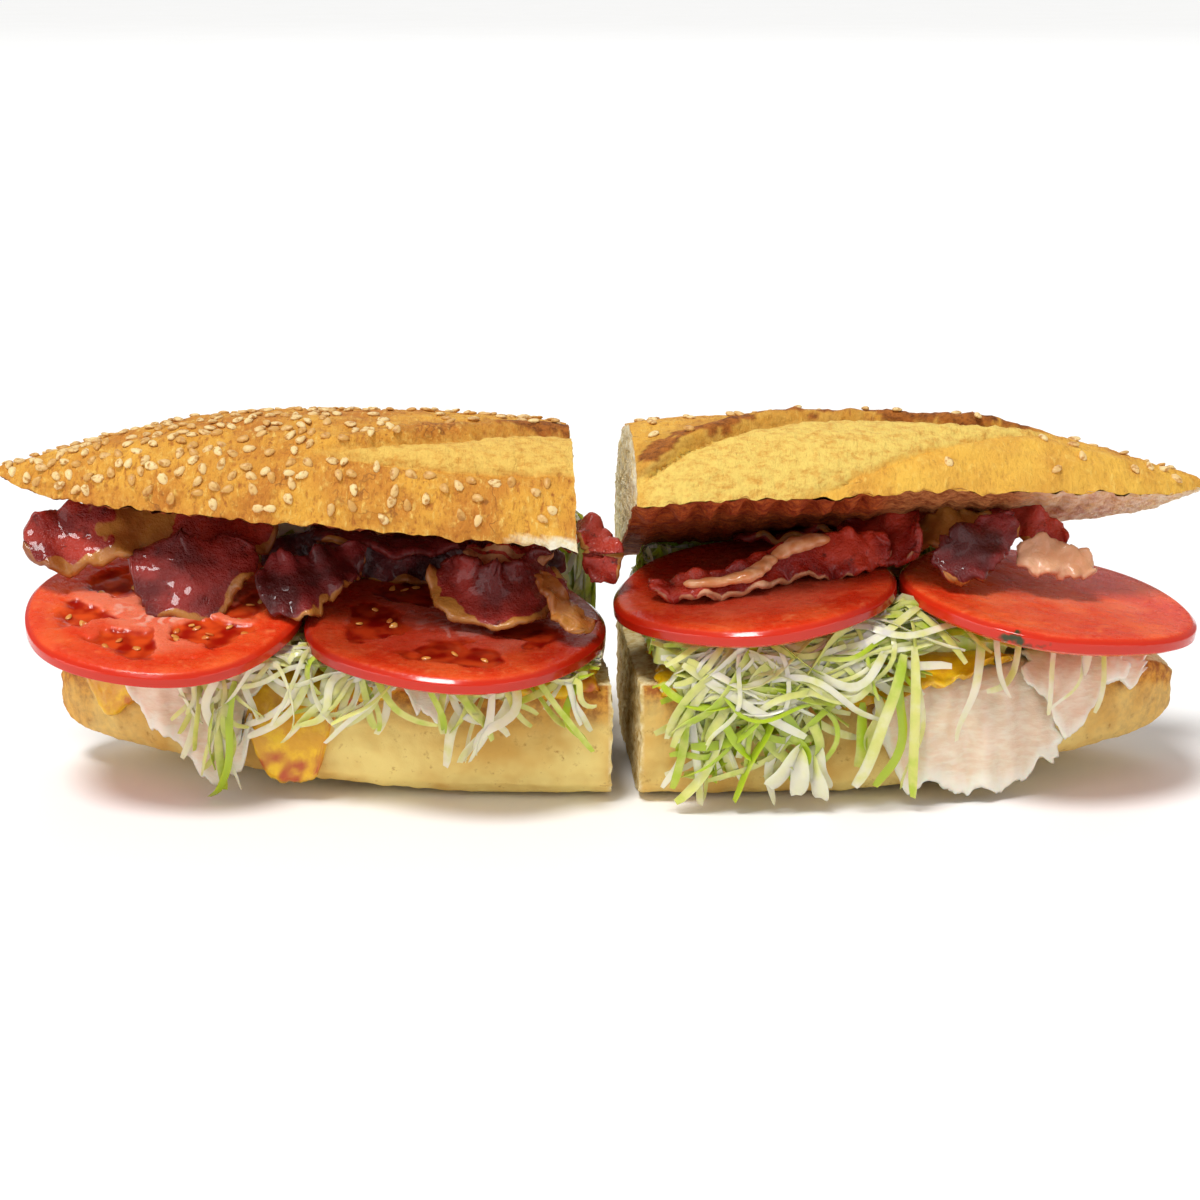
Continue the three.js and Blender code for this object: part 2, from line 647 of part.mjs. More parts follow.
const solids = {
  base_left: baseOf(left),
  base_right: baseOf(right),
  cheese_left_1: cheeseOf(left, -128, -94, [[-128, 6], [-122, 14], [-112, 6], [-94, 4]], 1),
  cheese_left_2: cheeseOf(left, -92, -3, [[-92, 6], [-82, 30], [-72, 27], [-64, 8], [-40, 4], [-3, 4]], 2),
  cheese_right_1: cheeseOf(right, 12, 74, [[12, 5], [20, 8], [28, 20], [36, 6], [74, 4]], 3),
  cheese_right_2: cheeseOf(right, 76, 134, [[76, 4], [100, 6], [120, 5], [134, 4]], 4),
  turkey_left_1: turkeyOf(left, -124, -86, [[-124, 6], [-104, 24], [-96, 34], [-90, 30], [-86, 20]], 1),
  turkey_left_2: turkeyOf(left, -62, -36, [[-62, 6], [-50, 11], [-42, 13], [-36, 8]], 2),
  turkey_right_1: turkeyOf(right, 66, 112, [[66, 22], [74, 34], [96, 36], [112, 30]], 3),
  turkey_right_2: turkeyOf(right, 104, 130, [[104, 12], [114, 26], [130, 14]], 4, LAYER.upper, 24),
  turkey_right_3: turkeyOf(right, 116, 136, [[116, 8], [126, 12], [136, 10]], 5),
  turkey_right_4: turkeyOf(right, 46, 63, [[46, 5], [56, 8], [63, 12]], 6),
};

for (const [index, name] of Object.keys(TOMATOES).entries()) {
  solids[name] = tomatoOf(TOMATOES[name], 1 + index);
}

const random = draws(20261);
for (const [name, half] of Object.entries(HALVES)) {
  solids["lid_" + name] = lidOf(half, seedsOn(half, random));
}

const solidsOf = (kinds) =>
  Object.keys(solids).filter((name) => kinds.includes(name.split("_")[0])).map((name) => solids[name]);

for (const [name, shape] of Object.entries(RASHERS)) {
  solids[name] = clearOf(rasher(shape), solidsOf(["tomato", "lid", "bacon"]));
}

const DOUBLE_TURKEY = 98; // to the right of this x there are two layers of turkey under the lettuce
const HEAPS = {
  left: { core: [-120, -3], hanging: { from: -112, to: -4, count: 12, least: 8, most: 30 } },
  right: { core: [12, 126], hanging: { from: 16, to: 100, count: 18, least: 10, most: 36 } },
};
for (const [name, half] of Object.entries(HALVES)) {
  const { core, hanging } = HEAPS[name];
  const slices = [1, 2].map((count) => TOMATOES[`tomato_${name}_${count}`]);
  const neighbours = solidsOf(["cheese", "turkey", "tomato", "lid", "bacon"]);
  const floorAt = (x) => (x > DOUBLE_TURKEY ? LAYER.lettuceOverTwo : LAYER.lettuce);
  const heap = heapOf(half, ...core, slices, floorAt, random);
  const shreds = Array.from({ length: hanging.count }, (_, i) =>
    shred(half, {
      x: mix(hanging.from, hanging.to, (i + random(0, 0.8)) / hanging.count),
      drift: random(-14, 14),
      hang: random(hanging.least, hanging.most),
      height: LAYER.lettuce + 0.6 + 1.1 * (i % 3),
      width: SHRED.width * random(0.8, 1.3),
    }),
  );
  solids["lettuce_" + name] = clearOf(wasm.Manifold.union([heap, ...shreds]), neighbours);
}

// ---------------------------------------------------------------- finishes and the group
const FINISHES = {
  lid: { color: "#d99a45", roughness: 0.75 },
  base: { color: "#d8bd78", roughness: 0.8 },
  cheese: { color: "#e0a52e", roughness: 0.4 },
  turkey: { color: "#dfc2ac", roughness: 0.45 },
  lettuce: { color: "#b9cc6a", roughness: 0.5 },
  tomato: { color: "#dc4a2b", roughness: 0.25 },
  bacon: { color: "#7c2a22", roughness: 0.35 },
};

function meshOf(name, solid) {
  const material = new THREE.MeshStandardMaterial({ ...FINISHES[name.split("_")[0]], metalness: 0 });
  const mesh = new THREE.Mesh(geometryOf(solid), material);
  mesh.name = name;
  return mesh;
}

const sandwich = new THREE.Group();
for (const [name, solid] of Object.entries(solids)) sandwich.add(meshOf(name, solid));

// The origin is the middle of the underside of the sandwich's box; the roll's centre line lies behind it.
const box = new THREE.Box3().setFromObject(sandwich);
sandwich.position.y = -(box.min.y + box.max.y) / 2;

export default sandwich;
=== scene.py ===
# %% [markdown]
# # A hot turkey and bacon sandwich on a long roll
# The sandwich is cut across into two halves that lie end to end. Each half is built from the bottom up:
# base, melted cheese, shaved turkey, shredded lettuce, tomato slices, bacon and lid. The solid model is
# loaded first and stays as the frame. Every finer piece takes its place and its main form from it.

# %% Load the solid model
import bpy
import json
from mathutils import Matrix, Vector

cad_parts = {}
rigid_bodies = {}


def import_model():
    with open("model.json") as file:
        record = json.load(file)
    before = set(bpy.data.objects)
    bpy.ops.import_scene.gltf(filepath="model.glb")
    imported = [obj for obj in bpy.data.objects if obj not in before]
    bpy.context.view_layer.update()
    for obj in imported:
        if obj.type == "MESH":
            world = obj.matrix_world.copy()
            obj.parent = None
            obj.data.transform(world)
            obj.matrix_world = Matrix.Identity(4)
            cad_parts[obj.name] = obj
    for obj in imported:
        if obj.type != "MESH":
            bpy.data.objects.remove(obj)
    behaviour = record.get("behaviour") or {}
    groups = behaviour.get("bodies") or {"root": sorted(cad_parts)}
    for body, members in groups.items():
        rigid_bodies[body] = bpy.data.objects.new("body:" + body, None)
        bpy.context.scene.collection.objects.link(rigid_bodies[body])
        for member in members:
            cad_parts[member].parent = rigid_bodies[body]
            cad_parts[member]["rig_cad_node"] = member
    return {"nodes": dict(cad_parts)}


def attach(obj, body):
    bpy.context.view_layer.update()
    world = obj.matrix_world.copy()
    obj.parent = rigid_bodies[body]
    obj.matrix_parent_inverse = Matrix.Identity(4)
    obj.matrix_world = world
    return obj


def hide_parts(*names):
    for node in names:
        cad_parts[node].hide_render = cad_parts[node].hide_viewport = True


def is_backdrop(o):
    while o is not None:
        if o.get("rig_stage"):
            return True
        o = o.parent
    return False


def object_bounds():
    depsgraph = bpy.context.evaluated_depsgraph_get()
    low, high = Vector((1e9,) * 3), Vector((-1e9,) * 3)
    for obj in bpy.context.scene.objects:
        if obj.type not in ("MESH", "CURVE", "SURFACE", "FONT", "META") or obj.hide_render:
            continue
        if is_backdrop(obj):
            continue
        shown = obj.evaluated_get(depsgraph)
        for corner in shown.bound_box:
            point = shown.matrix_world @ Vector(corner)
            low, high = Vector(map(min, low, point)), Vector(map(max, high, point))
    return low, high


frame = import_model()
solid_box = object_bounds()
print("solid pieces:", len(frame["nodes"]))

# %% [markdown]
# ## Units, colour and a few hand tools
# Sizes are worked out in millimetres along the roll: x to the right, y from its centre line to the back,
# z up. One function turns them into metres in the model's frame. Colours are picked as sRGB hex values and
# have to be made linear, because the shaders add light in linear numbers.

# %% Units and colour
import json
import math
import bpy
import numpy as np
from mathutils import Matrix, Vector, noise

AXIS_Y = 10.315  # mm from the model's origin back to the roll's centre line
MM = 0.001


def metres(points):
    """Points in millimetres from the roll's centre line, as metres in the model's frame."""
    return (np.asarray(points, float) + (0, AXIS_Y, 0)) * MM


def srgb(code):
    """A hex colour as linear red, green, blue and alpha."""
    shares = [int(code[i : i + 2], 16) / 255 for i in (0, 2, 4)]
    return [s / 12.92 if s <= 0.04045 else ((s + 0.055) / 1.055) ** 2.4 for s in shares] + [1]


# %% [markdown]
# ## Camera, light and floor
# The photograph was taken from straight in front, looking down by 15 degrees, from 0.65 metres away. The
# lens follows from the angle that the picture takes in. The main light is a sun with a wide disc above the
# front: its shadows are soft, and it lights the far floor as evenly as the near one. Fills from both sides,
# a light from behind and a pale room give the rest of the even light of a counter.

# %% Camera
AIM = Vector(metres((0, 0, 42)))
DISTANCE, TILT = 0.650, math.radians(15)
SENSOR_WIDTH = 36  # mm
FRAME_WIDTH, TO_THE_RADIAN = 1200, 2547  # pixels across the picture, and to the radian at its middle
bpy.ops.object.camera_add(
    location=AIM + Vector((0, -math.cos(TILT), math.sin(TILT))) * DISTANCE,
    rotation=(math.pi / 2 - TILT, 0, 0),
)
camera = bpy.context.active_object
camera.data.sensor_width = SENSOR_WIDTH
camera.data.lens = SENSOR_WIDTH * TO_THE_RADIAN / FRAME_WIDTH
camera.data.clip_start = 0.01
bpy.context.scene.camera = camera
print("lens", round(camera.data.lens, 1), "mm")


# %% Light and floor
def lit(kind, name, place, power, **settings):
    """A light at a place in metres, turned to the sandwich."""
    bpy.ops.object.light_add(type=kind, location=place)
    light = bpy.context.active_object
    light.name = name + "_light"
    light.data.energy = power
    for setting, value in settings.items():
        setattr(light.data, setting, value)
    light.rotation_euler = (AIM - light.location).to_track_quat("-Z", "Y").to_euler()


lit("SUN", "key", (-0.8, -1.1, 3.5), 2.25, angle=math.radians(18))
lit("AREA", "left_fill", (-2.8, -1.4, 1.0), 27, size=2.0)
lit("AREA", "right_fill", (2.4, -2.2, 1.0), 20, size=2.4)
lit("AREA", "rim", (0.3, 2.6, 2.4), 20, size=2.2)

room = bpy.data.worlds.new("pale_room")
room.use_nodes = True
room.node_tree.nodes["Background"].inputs["Color"].default_value = srgb("fcfbf9")
room.node_tree.nodes["Background"].inputs["Strength"].default_value = 0.3
bpy.context.scene.world = room
bpy.context.scene.view_settings.view_transform = "Standard"

bpy.ops.mesh.primitive_plane_add(size=60, location=(0, 0, -0.0002))
floor = bpy.context.active_object
floor.name = "floor"
floor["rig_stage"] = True

# %% [markdown]
# ## Hand tools for materials and meshes
# A material is a small graph, so one function adds a node together with its settings and links. The pieces
# of a sandwich are lofted, draped and torn shapes: each starts as a flat grid that is wrapped into its
# place, has its seams welded, and is then worked over with modifiers that are applied.


# %% Add a node to a material
def add(material, kind, inputs=None, **properties):
    """Adds one node. inputs maps sockets to plain values or to the outputs that feed them."""
    made = material.node_tree.nodes.new(kind)
    for name, value in properties.items():
        setattr(made, name, value)
    for socket, value in (inputs or {}).items():
        if isinstance(value, bpy.types.NodeSocket):
            material.node_tree.links.new(value, made.inputs[socket])
        else:
            made.inputs[socket].default_value = value
    return made


# %% Select, modify and clean a piece
def take(obj):
    """Selects one piece alone, as a click does."""
    bpy.ops.object.select_all(action="DESELECT")
    obj.select_set(True)
    bpy.context.view_layer.objects.active = obj
    return obj


def modify(obj, kind, **settings):
    """Gives a piece one modifier and applies it."""
    take(obj)
    modifier = obj.modifiers.new(kind.lower(), kind)
    for name, value in settings.items():
        setattr(modifier, name, value)
    bpy.ops.object.modifier_apply(modifier=modifier.name)
    return obj


SEAM = 2e-6  # metres: points nearer to each other than this are one


def weld(obj, angle=180):
    """Welds the seams where a wrapped grid meets itself and turns its faces outwards."""
    take(obj)
    bpy.ops.object.mode_set(mode="EDIT")
    bpy.ops.mesh.select_all(action="SELECT")
    bpy.ops.mesh.remove_doubles(threshold=SEAM)
    bpy.ops.mesh.dissolve_degenerate(threshold=SEAM / 20)
    bpy.ops.mesh.normals_make_consistent(inside=False)
    bpy.ops.object.mode_set(mode="OBJECT")
    bpy.ops.object.shade_smooth_by_angle(angle=math.radians(angle))
    return obj


def points_of(obj):
    """A piece's vertices in millimetres from the roll's centre line."""
    flat = np.empty(len(obj.data.vertices) * 3, np.float32)
    obj.data.vertices.foreach_get("co", flat)
    return flat.reshape(-1, 3) / MM - (0, AXIS_Y, 0)


def place_points(obj, points):
    obj.data.vertices.foreach_set("co", metres(points).astype(np.float32).ravel())
    obj.data.update()


LOWEST = 0.02  # mm over the table, for any point


def set_on_table(obj):
    """Lifts the points that a displacement pushed into the table."""
    points = points_of(obj)
    points[:, 2] = np.maximum(points[:, 2], LOWEST)
    place_points(obj, points)


def paint(obj, name, values):
    """Stores one number for each vertex, for a material to read."""
    attribute = obj.data.attributes.new(name, "FLOAT", "POINT")
    attribute.data.foreach_set("value", np.clip(values, 0, 1).astype(np.float32))


# %% Wrap a grid, and lay a thin shell over a surface
def wrapped(name, columns, rows, form, **masks):
    """A grid wrapped to form(u, v). Each mask is a function of u, v and the points, stored on the mesh."""
    bpy.ops.object.select_all(action="DESELECT")
    bpy.ops.mesh.primitive_grid_add(x_subdivisions=columns, y_subdivisions=rows, size=2)
    obj = bpy.context.active_object
    obj.name = obj.data.name = name
    flat = np.empty(len(obj.data.vertices) * 3, np.float32)
    obj.data.vertices.foreach_get("co", flat)
    u, v = (flat.reshape(-1, 3)[:, :2].T.astype(float) + 1) / 2
    points = form(u, v)
    place_points(obj, points)
    for mask, rule in masks.items():
        paint(obj, mask, rule(u, v, points))
    return obj


def facing(surface, u, v, step=2e-3):
    """The direction that a surface faces at u, v."""
    along = surface(np.clip(u + step, 0, 1), v) - surface(np.clip(u - step, 0, 1), v)
    across = surface(u, np.clip(v + step, 0, 1)) - surface(u, np.clip(v - step, 0, 1))
    normal = np.cross(along, across)
    return normal / (np.linalg.norm(normal, axis=1, keepdims=True) + 1e-9)


def shell(name, columns, rows, surface, thick, **masks):
    """A thin closed piece: the grid's first half lies over the surface, its second half comes back under."""
    over_or_under = lambda v: (1 - np.abs(2 * v - 1), np.where(v <= 0.5, 1, -1))

    def form(u, v):
        across, side = over_or_under(v)
        half = side * thick(u, across) / 2
        return surface(u, across) + facing(surface, u, across) * half[:, None]

    def on_surface(rule):
        return lambda u, v, points: rule(u, over_or_under(v)[0], points)

    fitted = {mask: on_surface(rule) for mask, rule in masks.items()}
    return weld(wrapped(name, columns, 2 * rows, form, **fitted))


# %% [markdown]
# ## Unevenness
# Nothing baked, torn or sliced is even. Slow swells bend whole outlines, and finer noise of a set size
# roughens a surface. Both are worked out from a point's place, so that every run gives the same food.


# %% Swells and grain
def mix(a, b, t):
    return a + (b - a) * t


def smoothstep(low, high, value):
    t = np.clip((value - low) / (high - low), 0, 1)
    return t * t * (3 - 2 * t)


def bump(t):
    """A rounded hump, 1 high at 0 and flat beyond 1 and -1."""
    return np.where(np.abs(t) < 1, (1 - np.minimum(t * t, 1)) ** 2, 0)


def wobble(a, b, seed=0):
    """Slow unevenness between -1 and 1."""
    s = seed * 1.7
    broad, middling = np.sin(0.11 * a + 0.07 * b + s), np.sin(0.23 * a - 0.17 * b + 2.1 * s)
    return (broad + middling + np.sin(0.05 * a + 0.31 * b - s)) / 3


def grain(points, size, depth=2, seed=0):
    """Fractal noise between about -1 and 1, with features of a size in millimetres."""
    moved = np.asarray(points, float) / size + seed * 17.3
    return np.array([noise.fractal(p, 1, 2, depth) for p in moved.tolist()])


def tear(x, size, seed=0):
    """The uneven run of a torn edge, between about -1 and 1."""
    return 1.6 * grain(np.stack([x, 0 * x + seed, 0 * x], -1), size, 3, seed)


def eased_along(pairs, place):
    """A value read off a list of (place, value) pairs, eased from each pair to the next."""
    places, values = np.array(pairs, float).T
    i = np.clip(np.searchsorted(places, place) - 1, 0, len(places) - 2)
    t = smoothstep(places[i], places[i + 1], place)
    return mix(values[i], values[i + 1], t)


# %% [markdown]
# ## The roll's form
# A long roll is fullest near its middle and tapers to a pointed tip. The cook splits it along the side into
# a base and a lid, fills it and cuts it across with the knife a little askew. The numbers are those of the
# solid model, and the functions below rebuild its outline at any fineness.

# %% Numbers of the two halves
# side is -1 for the left half and 1 for the right one, and crest is the top of the filling at its front.
# rocker is how high the underside lifts at the base's tip, and over what length it does. The lid's underside
# starts at the height under, goes up by rise towards the tip, and leans back by tilt.
HALF_WIDTH, BASE_HEIGHT, SHOULDER, KNIFE_SLANT = 38, 30, 3, 0.07
LEFT = dict(
    side=-1, crest=37.5, base_cut=0.3, base_tip=-138.5, rocker=(11, 105), lid_cut=-8.2, lid_tip=-152.5,
    lid_height=25.5, taper=(3, 0.8), under=61.5, rise=10.3, tilt=math.radians(4),
)
RIGHT = dict(
    side=1, crest=46, base_cut=7.3, base_tip=147, rocker=(12, 90), lid_cut=6.6, lid_tip=152.5,
    lid_height=27.5, taper=(2.4, 0.65), under=59.2, rise=8.4, tilt=math.radians(22.5),
)
SIDE_WIDEST, SIDE_TOP, SHARE_AT_TOP = 12, 27, 0.955  # two heights on the base, and its share of width at 27


# %% Outline of the base
def plan_taper(t, power, root):
    return (1 - (1 - np.clip(t, 0, 1)) ** power) ** root


def base_half_width(half, x, offset=0):
    length = abs(half["base_tip"] - half["base_cut"]) + offset
    from_tip = (half["base_tip"] - x) * half["side"] + offset
    return (HALF_WIDTH + offset) * plan_taper(from_tip / length, 2.6, 0.6)


def side_share(z):
    """Share of the half width at each height: the underside is narrow."""
    return np.interp(z, [0, 1.5, 5, SIDE_WIDEST, 20, SIDE_TOP], [0.68, 0.86, 0.96, 1, 0.995, SHARE_AT_TOP])


def shoulder(half, x, offset=0):
    """Half width, radius of the shoulder, where it begins and how long its arc is."""
    width = base_half_width(half, x, offset)
    radius = np.minimum(SHOULDER + offset, width / 2)
    return width, radius, SHARE_AT_TOP * width - radius, radius * math.pi / 2


def skewed(half, part, x, y):
    cut, tip = half[part + "_cut"], half[part + "_tip"]
    return x - KNIFE_SLANT * y * (1 - np.clip((x - cut) / (tip - cut), 0, 1))


def skin(half, x, q, offset=0):
    """y and z on the base's skin, or at an offset over it, a way q from the centre line over the shoulder."""
    width, radius, edge, arc = shoulder(half, x, offset)
    facing_way = np.where(q < 0, 1, -1)
    past = np.abs(q) - edge
    turn = np.clip(past / np.maximum(radius, 1e-6), 0, math.pi / 2)
    fallen = BASE_HEIGHT + offset - radius - np.maximum(past - arc, 0)
    y = np.where(past <= 0, np.abs(q), edge + radius * np.sin(turn))
    y = np.where(past > arc, side_share(np.maximum(fallen, SIDE_WIDEST)) * width, y)
    z = np.where(past > arc, fallen, BASE_HEIGHT + offset - radius * (1 - np.cos(turn)))
    return facing_way * y, z


# %% [markdown]
# ## The baker's slash
# Before baking, the dough is slashed along its length. In the oven the slash opens into a pale lens of
# stretched crumb, the bloom, and the flap of skin over it lifts into a dark crisp lip, the ear. Each lens
# is given by the angles round the crust where the bloom starts and ends at a few places along the roll.

# %% Lens of each slash
LEFT["bloom"] = dict(
    x=[-74, -66, -51, -37, -23, -8],
    low=[43, 41, 37, 36, 37, 40],
    high=[44, 47, 54, 61, 68, 73],
)
RIGHT["bloom"] = dict(
    x=[6, 21, 36, 50, 65, 83, 95, 109, 119],
    low=[1, -8, -9, 0, 13, 30, 43, 56, 66],
    high=[11, 33, 48, 54, 58, 60, 61, 65, 67],
)
LIP = 2.0  # mm that the ear stands up
# Fine cracks of the crust, from one place to another: x in mm and degrees round.
LEFT["cracks"] = [
    (-79, 8, -77, 34), (-62, 6, -63, 17), (-42, 5, -42, 14), (-76, 60, -66, 82), (-20, 6, -21, 15),
    (-58, 60, -60, 80),
]
RIGHT["cracks"] = [(57, 6, 62, 14), (20, 6, 21, 14), (88, 10, 90, 24)]
CRACK, DEGREE = 0.45, 0.6  # half a crack's width, and a degree of crust, in mm


def slash(half, x, degrees):
    """How far a place is across the bloom, -1 and 1 at its edges, how deep it is, and half its degrees."""
    low = np.interp(x, half["bloom"]["x"], half["bloom"]["low"])
    high = np.interp(x, half["bloom"]["x"], half["bloom"]["high"])
    reach = np.maximum((high - low) / 2, 0.5)
    first, last = half["bloom"]["x"][0], half["bloom"]["x"][-1]
    inside = smoothstep(first - 1, first + 8, x)
    if half is RIGHT:  # the left half's bloom runs on to its cut
        inside = inside * (1 - smoothstep(last - 8, last + 1, x))
    return (degrees - (low + high) / 2) / reach, inside * np.clip(reach / 7, 0, 1), reach


def cracks_at(half, x, degrees):
    """Depth of the fine cracks, 1 in the middle of one."""
    depth = np.zeros_like(x)
    for x0, d0, x1, d1 in half["cracks"]:
        start, way = np.array([x0, DEGREE * d0]), np.array([x1 - x0, DEGREE * (d1 - d0)])
        rel = np.stack([x, DEGREE * degrees], -1) - start
        t = np.clip(rel @ way / (way @ way), 0, 1)
        wander = 0.5 * np.sin(9 * t + x0)
        distance = np.hypot(rel[:, 0] - t * way[0] - wander, rel[:, 1] - t * way[1])
        depth = np.maximum(depth, np.exp(-((distance / CRACK) ** 2)) * (1 - 0.5 * t))
    return depth


# %% Form of a lid
def lid_middle(half, t):
    x = mix(half["lid_cut"], half["lid_tip"], t)
    near = np.clip(1 - np.abs(half["lid_tip"] - x) / 20, 0, 1)
    return half["under"] + half["rise"] * t**0.8 + 4 * near**2


SQUARENESS = 0.92  # 1 gives an ellipse, and less gives fuller corners


def crust_point(half, t, degrees, proud=0):
    """A point of the crust, t along it and degrees round it from the front edge."""
    a = HALF_WIDTH * plan_taper(1 - t, 2.4, 0.75)
    b = half["lid_height"] * plan_taper(1 - t, *half["taper"])
    x = mix(half["lid_cut"], half["lid_tip"], t)
    share, deep, reach = slash(half, x, degrees)
    past = (share - 1) * reach  # degrees past the bloom's upper edge
    bumpy = 1 + 0.14 * np.sin(0.27 * x + 1.3) + 0.1 * np.sin(0.71 * x + 2 * np.sin(0.13 * x))
    lifted = LIP * bumpy * bump((past - 6) / 8)  # the ear
    lifted = lifted - 2.0 * bump((past + 1) / 4) + 0.9 * bump(share)  # the groove before it, and the bloom
    lifted = lifted - 0.9 * bump((past + 2 * reach) / 3)  # the groove along the bloom's lower edge
    relief = deep * lifted + 0.5 * wobble(x, degrees, 3) - 0.7 * cracks_at(half, x, degrees)
    relief = relief * np.minimum(1, b / 12) + proud  # it fades where the lid gets low
    cosine, sine = np.cos(np.radians(degrees)), np.sin(np.radians(degrees))
    forward = np.sign(cosine) * a * np.abs(cosine) ** SQUARENESS + relief * cosine
    up = b * np.abs(sine) ** SQUARENESS + relief * sine
    y = -forward * math.cos(half["tilt"]) + up * math.sin(half["tilt"])
    z = lid_middle(half, t) + forward * math.sin(half["tilt"]) + up * math.cos(half["tilt"])
    return np.stack([skewed(half, "lid", x, y), y, z], -1)


# %% [markdown]
# ## Lids
# A lid could be a stretched sphere cut flat, but its crust, its crumb side and its cut end meet in crisp
# edges and carry different textures. One grid is wrapped round it instead: its first columns spread from
# the middle of the cut end, the rest run out to the tip, and its rows go over the crust and back under.

# %% Columns and rows of the wrap
CUT_SHARE, CRUST_SHARE = 0.09, 0.7  # of the columns for the cut end, and of the rows for the crust
LAST_COLUMN = 0.9999


def along_roll(u):
    """How far along the roll each column is, close together towards the tip."""
    return np.sin(np.clip((u - CUT_SHARE) / (1 - CUT_SHARE), 0, 1) * math.pi / 2)


def ends_closed(u, middle, points, end):
    """The first columns spread from the middle of the cut end, and the last one is drawn to the tip."""
    spread = np.clip(u / CUT_SHARE, 0, 1)[:, None]
    points = np.where(spread < 1, mix(middle, points, spread**0.9), points)
    return np.where((u > LAST_COLUMN)[:, None], end, points)


def crust_angle(v):
    return np.clip(v / CRUST_SHARE, 0, 1) * 180


# %% Form of a wrapped lid
def lid_form(half):
    def form(u, v):
        t = along_roll(u) * 0.9995
        over, below = crust_angle(v), v > CRUST_SHARE
        back = np.clip((v - CRUST_SHARE) / (1 - CRUST_SHARE), 0, 1)
        crust = crust_point(half, t, over)
        front, rear = crust_point(half, t, over * 0), crust_point(half, t, over * 0 + 180)
        points = np.where(below[:, None], mix(rear, front, back[:, None]), crust)
        x = points[:, 0]
        # the torn underside
        ridges = 0.3 + (half is RIGHT) * 1.3 * smoothstep(75, 60, x) * bump((back - 0.86) / 0.14)
        waves = 0.5 * wobble(x, 40 * back, 5) + ridges * np.sin(0.9 * x + 0.8 * np.sin(0.21 * x))
        torn = np.minimum(1, 4 * (1 - t)) * waves
        points[:, 2] += torn * np.where(below, np.sin(np.pi * back) ** 0.4 + 0.6 * back, 0)
        # the nicked front edge, where crust and underside meet
        nicks = grain(np.stack([x, 0 * x, 0 * x], -1), 3.6, 2, half["side"])
        at_edge = np.exp(-((over / 5) ** 2)) * ~below + np.exp(-(((1 - back) / 0.06) ** 2)) * below
        points[:, 2] += at_edge * (1.3 * nicks + 0.2) * np.minimum(1, 5 * (1 - t))
        centre = np.array([0, 0, half["under"] + 0.42 * half["lid_height"]])
        middle = crust_point(half, t * 0, over * 0 + 90) * (1, 1, 0) + centre
        return ends_closed(u, middle, points, crust_point(half, t * 0 + 1, over * 0 + 90))

    return form


# %% Masks of a lid
def lid_masks(half):
    """Where the lid is bloom, dark ear, bare crumb, toasted crumb and fair crust."""
    on_crust = lambda u, v: (v <= CRUST_SHARE) & (u >= CUT_SHARE)
    right = half is RIGHT

    def bloom(u, v, points):
        share, deep, _ = slash(half, points[:, 0], crust_angle(v))
        frayed = share + 0.1 * grain(points, 5, 3, 2)
        return on_crust(u, v) * deep * (1 - smoothstep(0.86, 1.12, np.abs(frayed)))

    def ear(u, v, points):
        share, deep, reach = slash(half, points[:, 0], crust_angle(v))
        past = (share - 1) * reach
        broad = np.exp(-(((past - 9) / 11) ** 2)) * (past > -3)
        dark_end = 1 if right else 0.3 + 0.7 * smoothstep(-40, -16, points[:, 0])
        return on_crust(u, v) * deep * broad * dark_end * (0.75 + 0.5 * grain(points, 7, 3, 4))

    def crumb(u, v, points):
        ragged = smoothstep(7, 2, crust_angle(v) + 3 * grain(points, 4, 3, 6))
        corner = (not right) * smoothstep(-26, -12, points[:, 0]) * ragged
        return np.where(on_crust(u, v), corner, 1)

    def toast(u, v, points):
        baked = np.interp(points[:, 0], [0, 62, 72, 95, 112], [1, 1, 0.7, 0.6, 0.15]) if right else 0.8
        return np.where((v > CRUST_SHARE) & (u > CUT_SHARE * 0.9), baked, 0)

    def fair(u, v, points):
        uneven = 0.6 + 0.5 * grain(points, 12, 3, 3)
        return right * on_crust(u, v) * smoothstep(75, 40, crust_angle(v)) * uneven

    return dict(bloom=bloom, ear=ear, crumb=crumb, toast=toast, fair=fair)


# %% Wrap the lids
lids = {}
for name, half in (("left", LEFT), ("right", RIGHT)):
    lids[name] = wrapped(f"lid_{name}_seeded", 200, 170, lid_form(half), **lid_masks(half))
    weld(lids[name], 50)
    print("lid", name, len(lids[name].data.polygons), "faces")

# %% [markdown]
# ## Bases
# The base is the lower part of the roll: a flat underside, a round side and a soft shoulder at the split.
# It is wrapped in the same way. Its underside rises a little towards the tip, as a baked roll's does.

# %% Form of a wrapped base
SIDE_HEIGHTS = np.array([0, 0.4, 0.9, 1.6, 2.6, 3.8, 5, 7.5, 10, 12.5, 15, 17.5, 20, 22.5, 25, SIDE_TOP])
SIDE_AT, SHOULDER_AT, TOP_AT = 0.1, 0.52, 0.62  # where each begins, on the way round from under to top


def folded_rows(v):
    """0 at the middle of the underside and 1 at the middle of the top, by the front or by the back."""
    return 1 - np.abs(2 * v - 1)


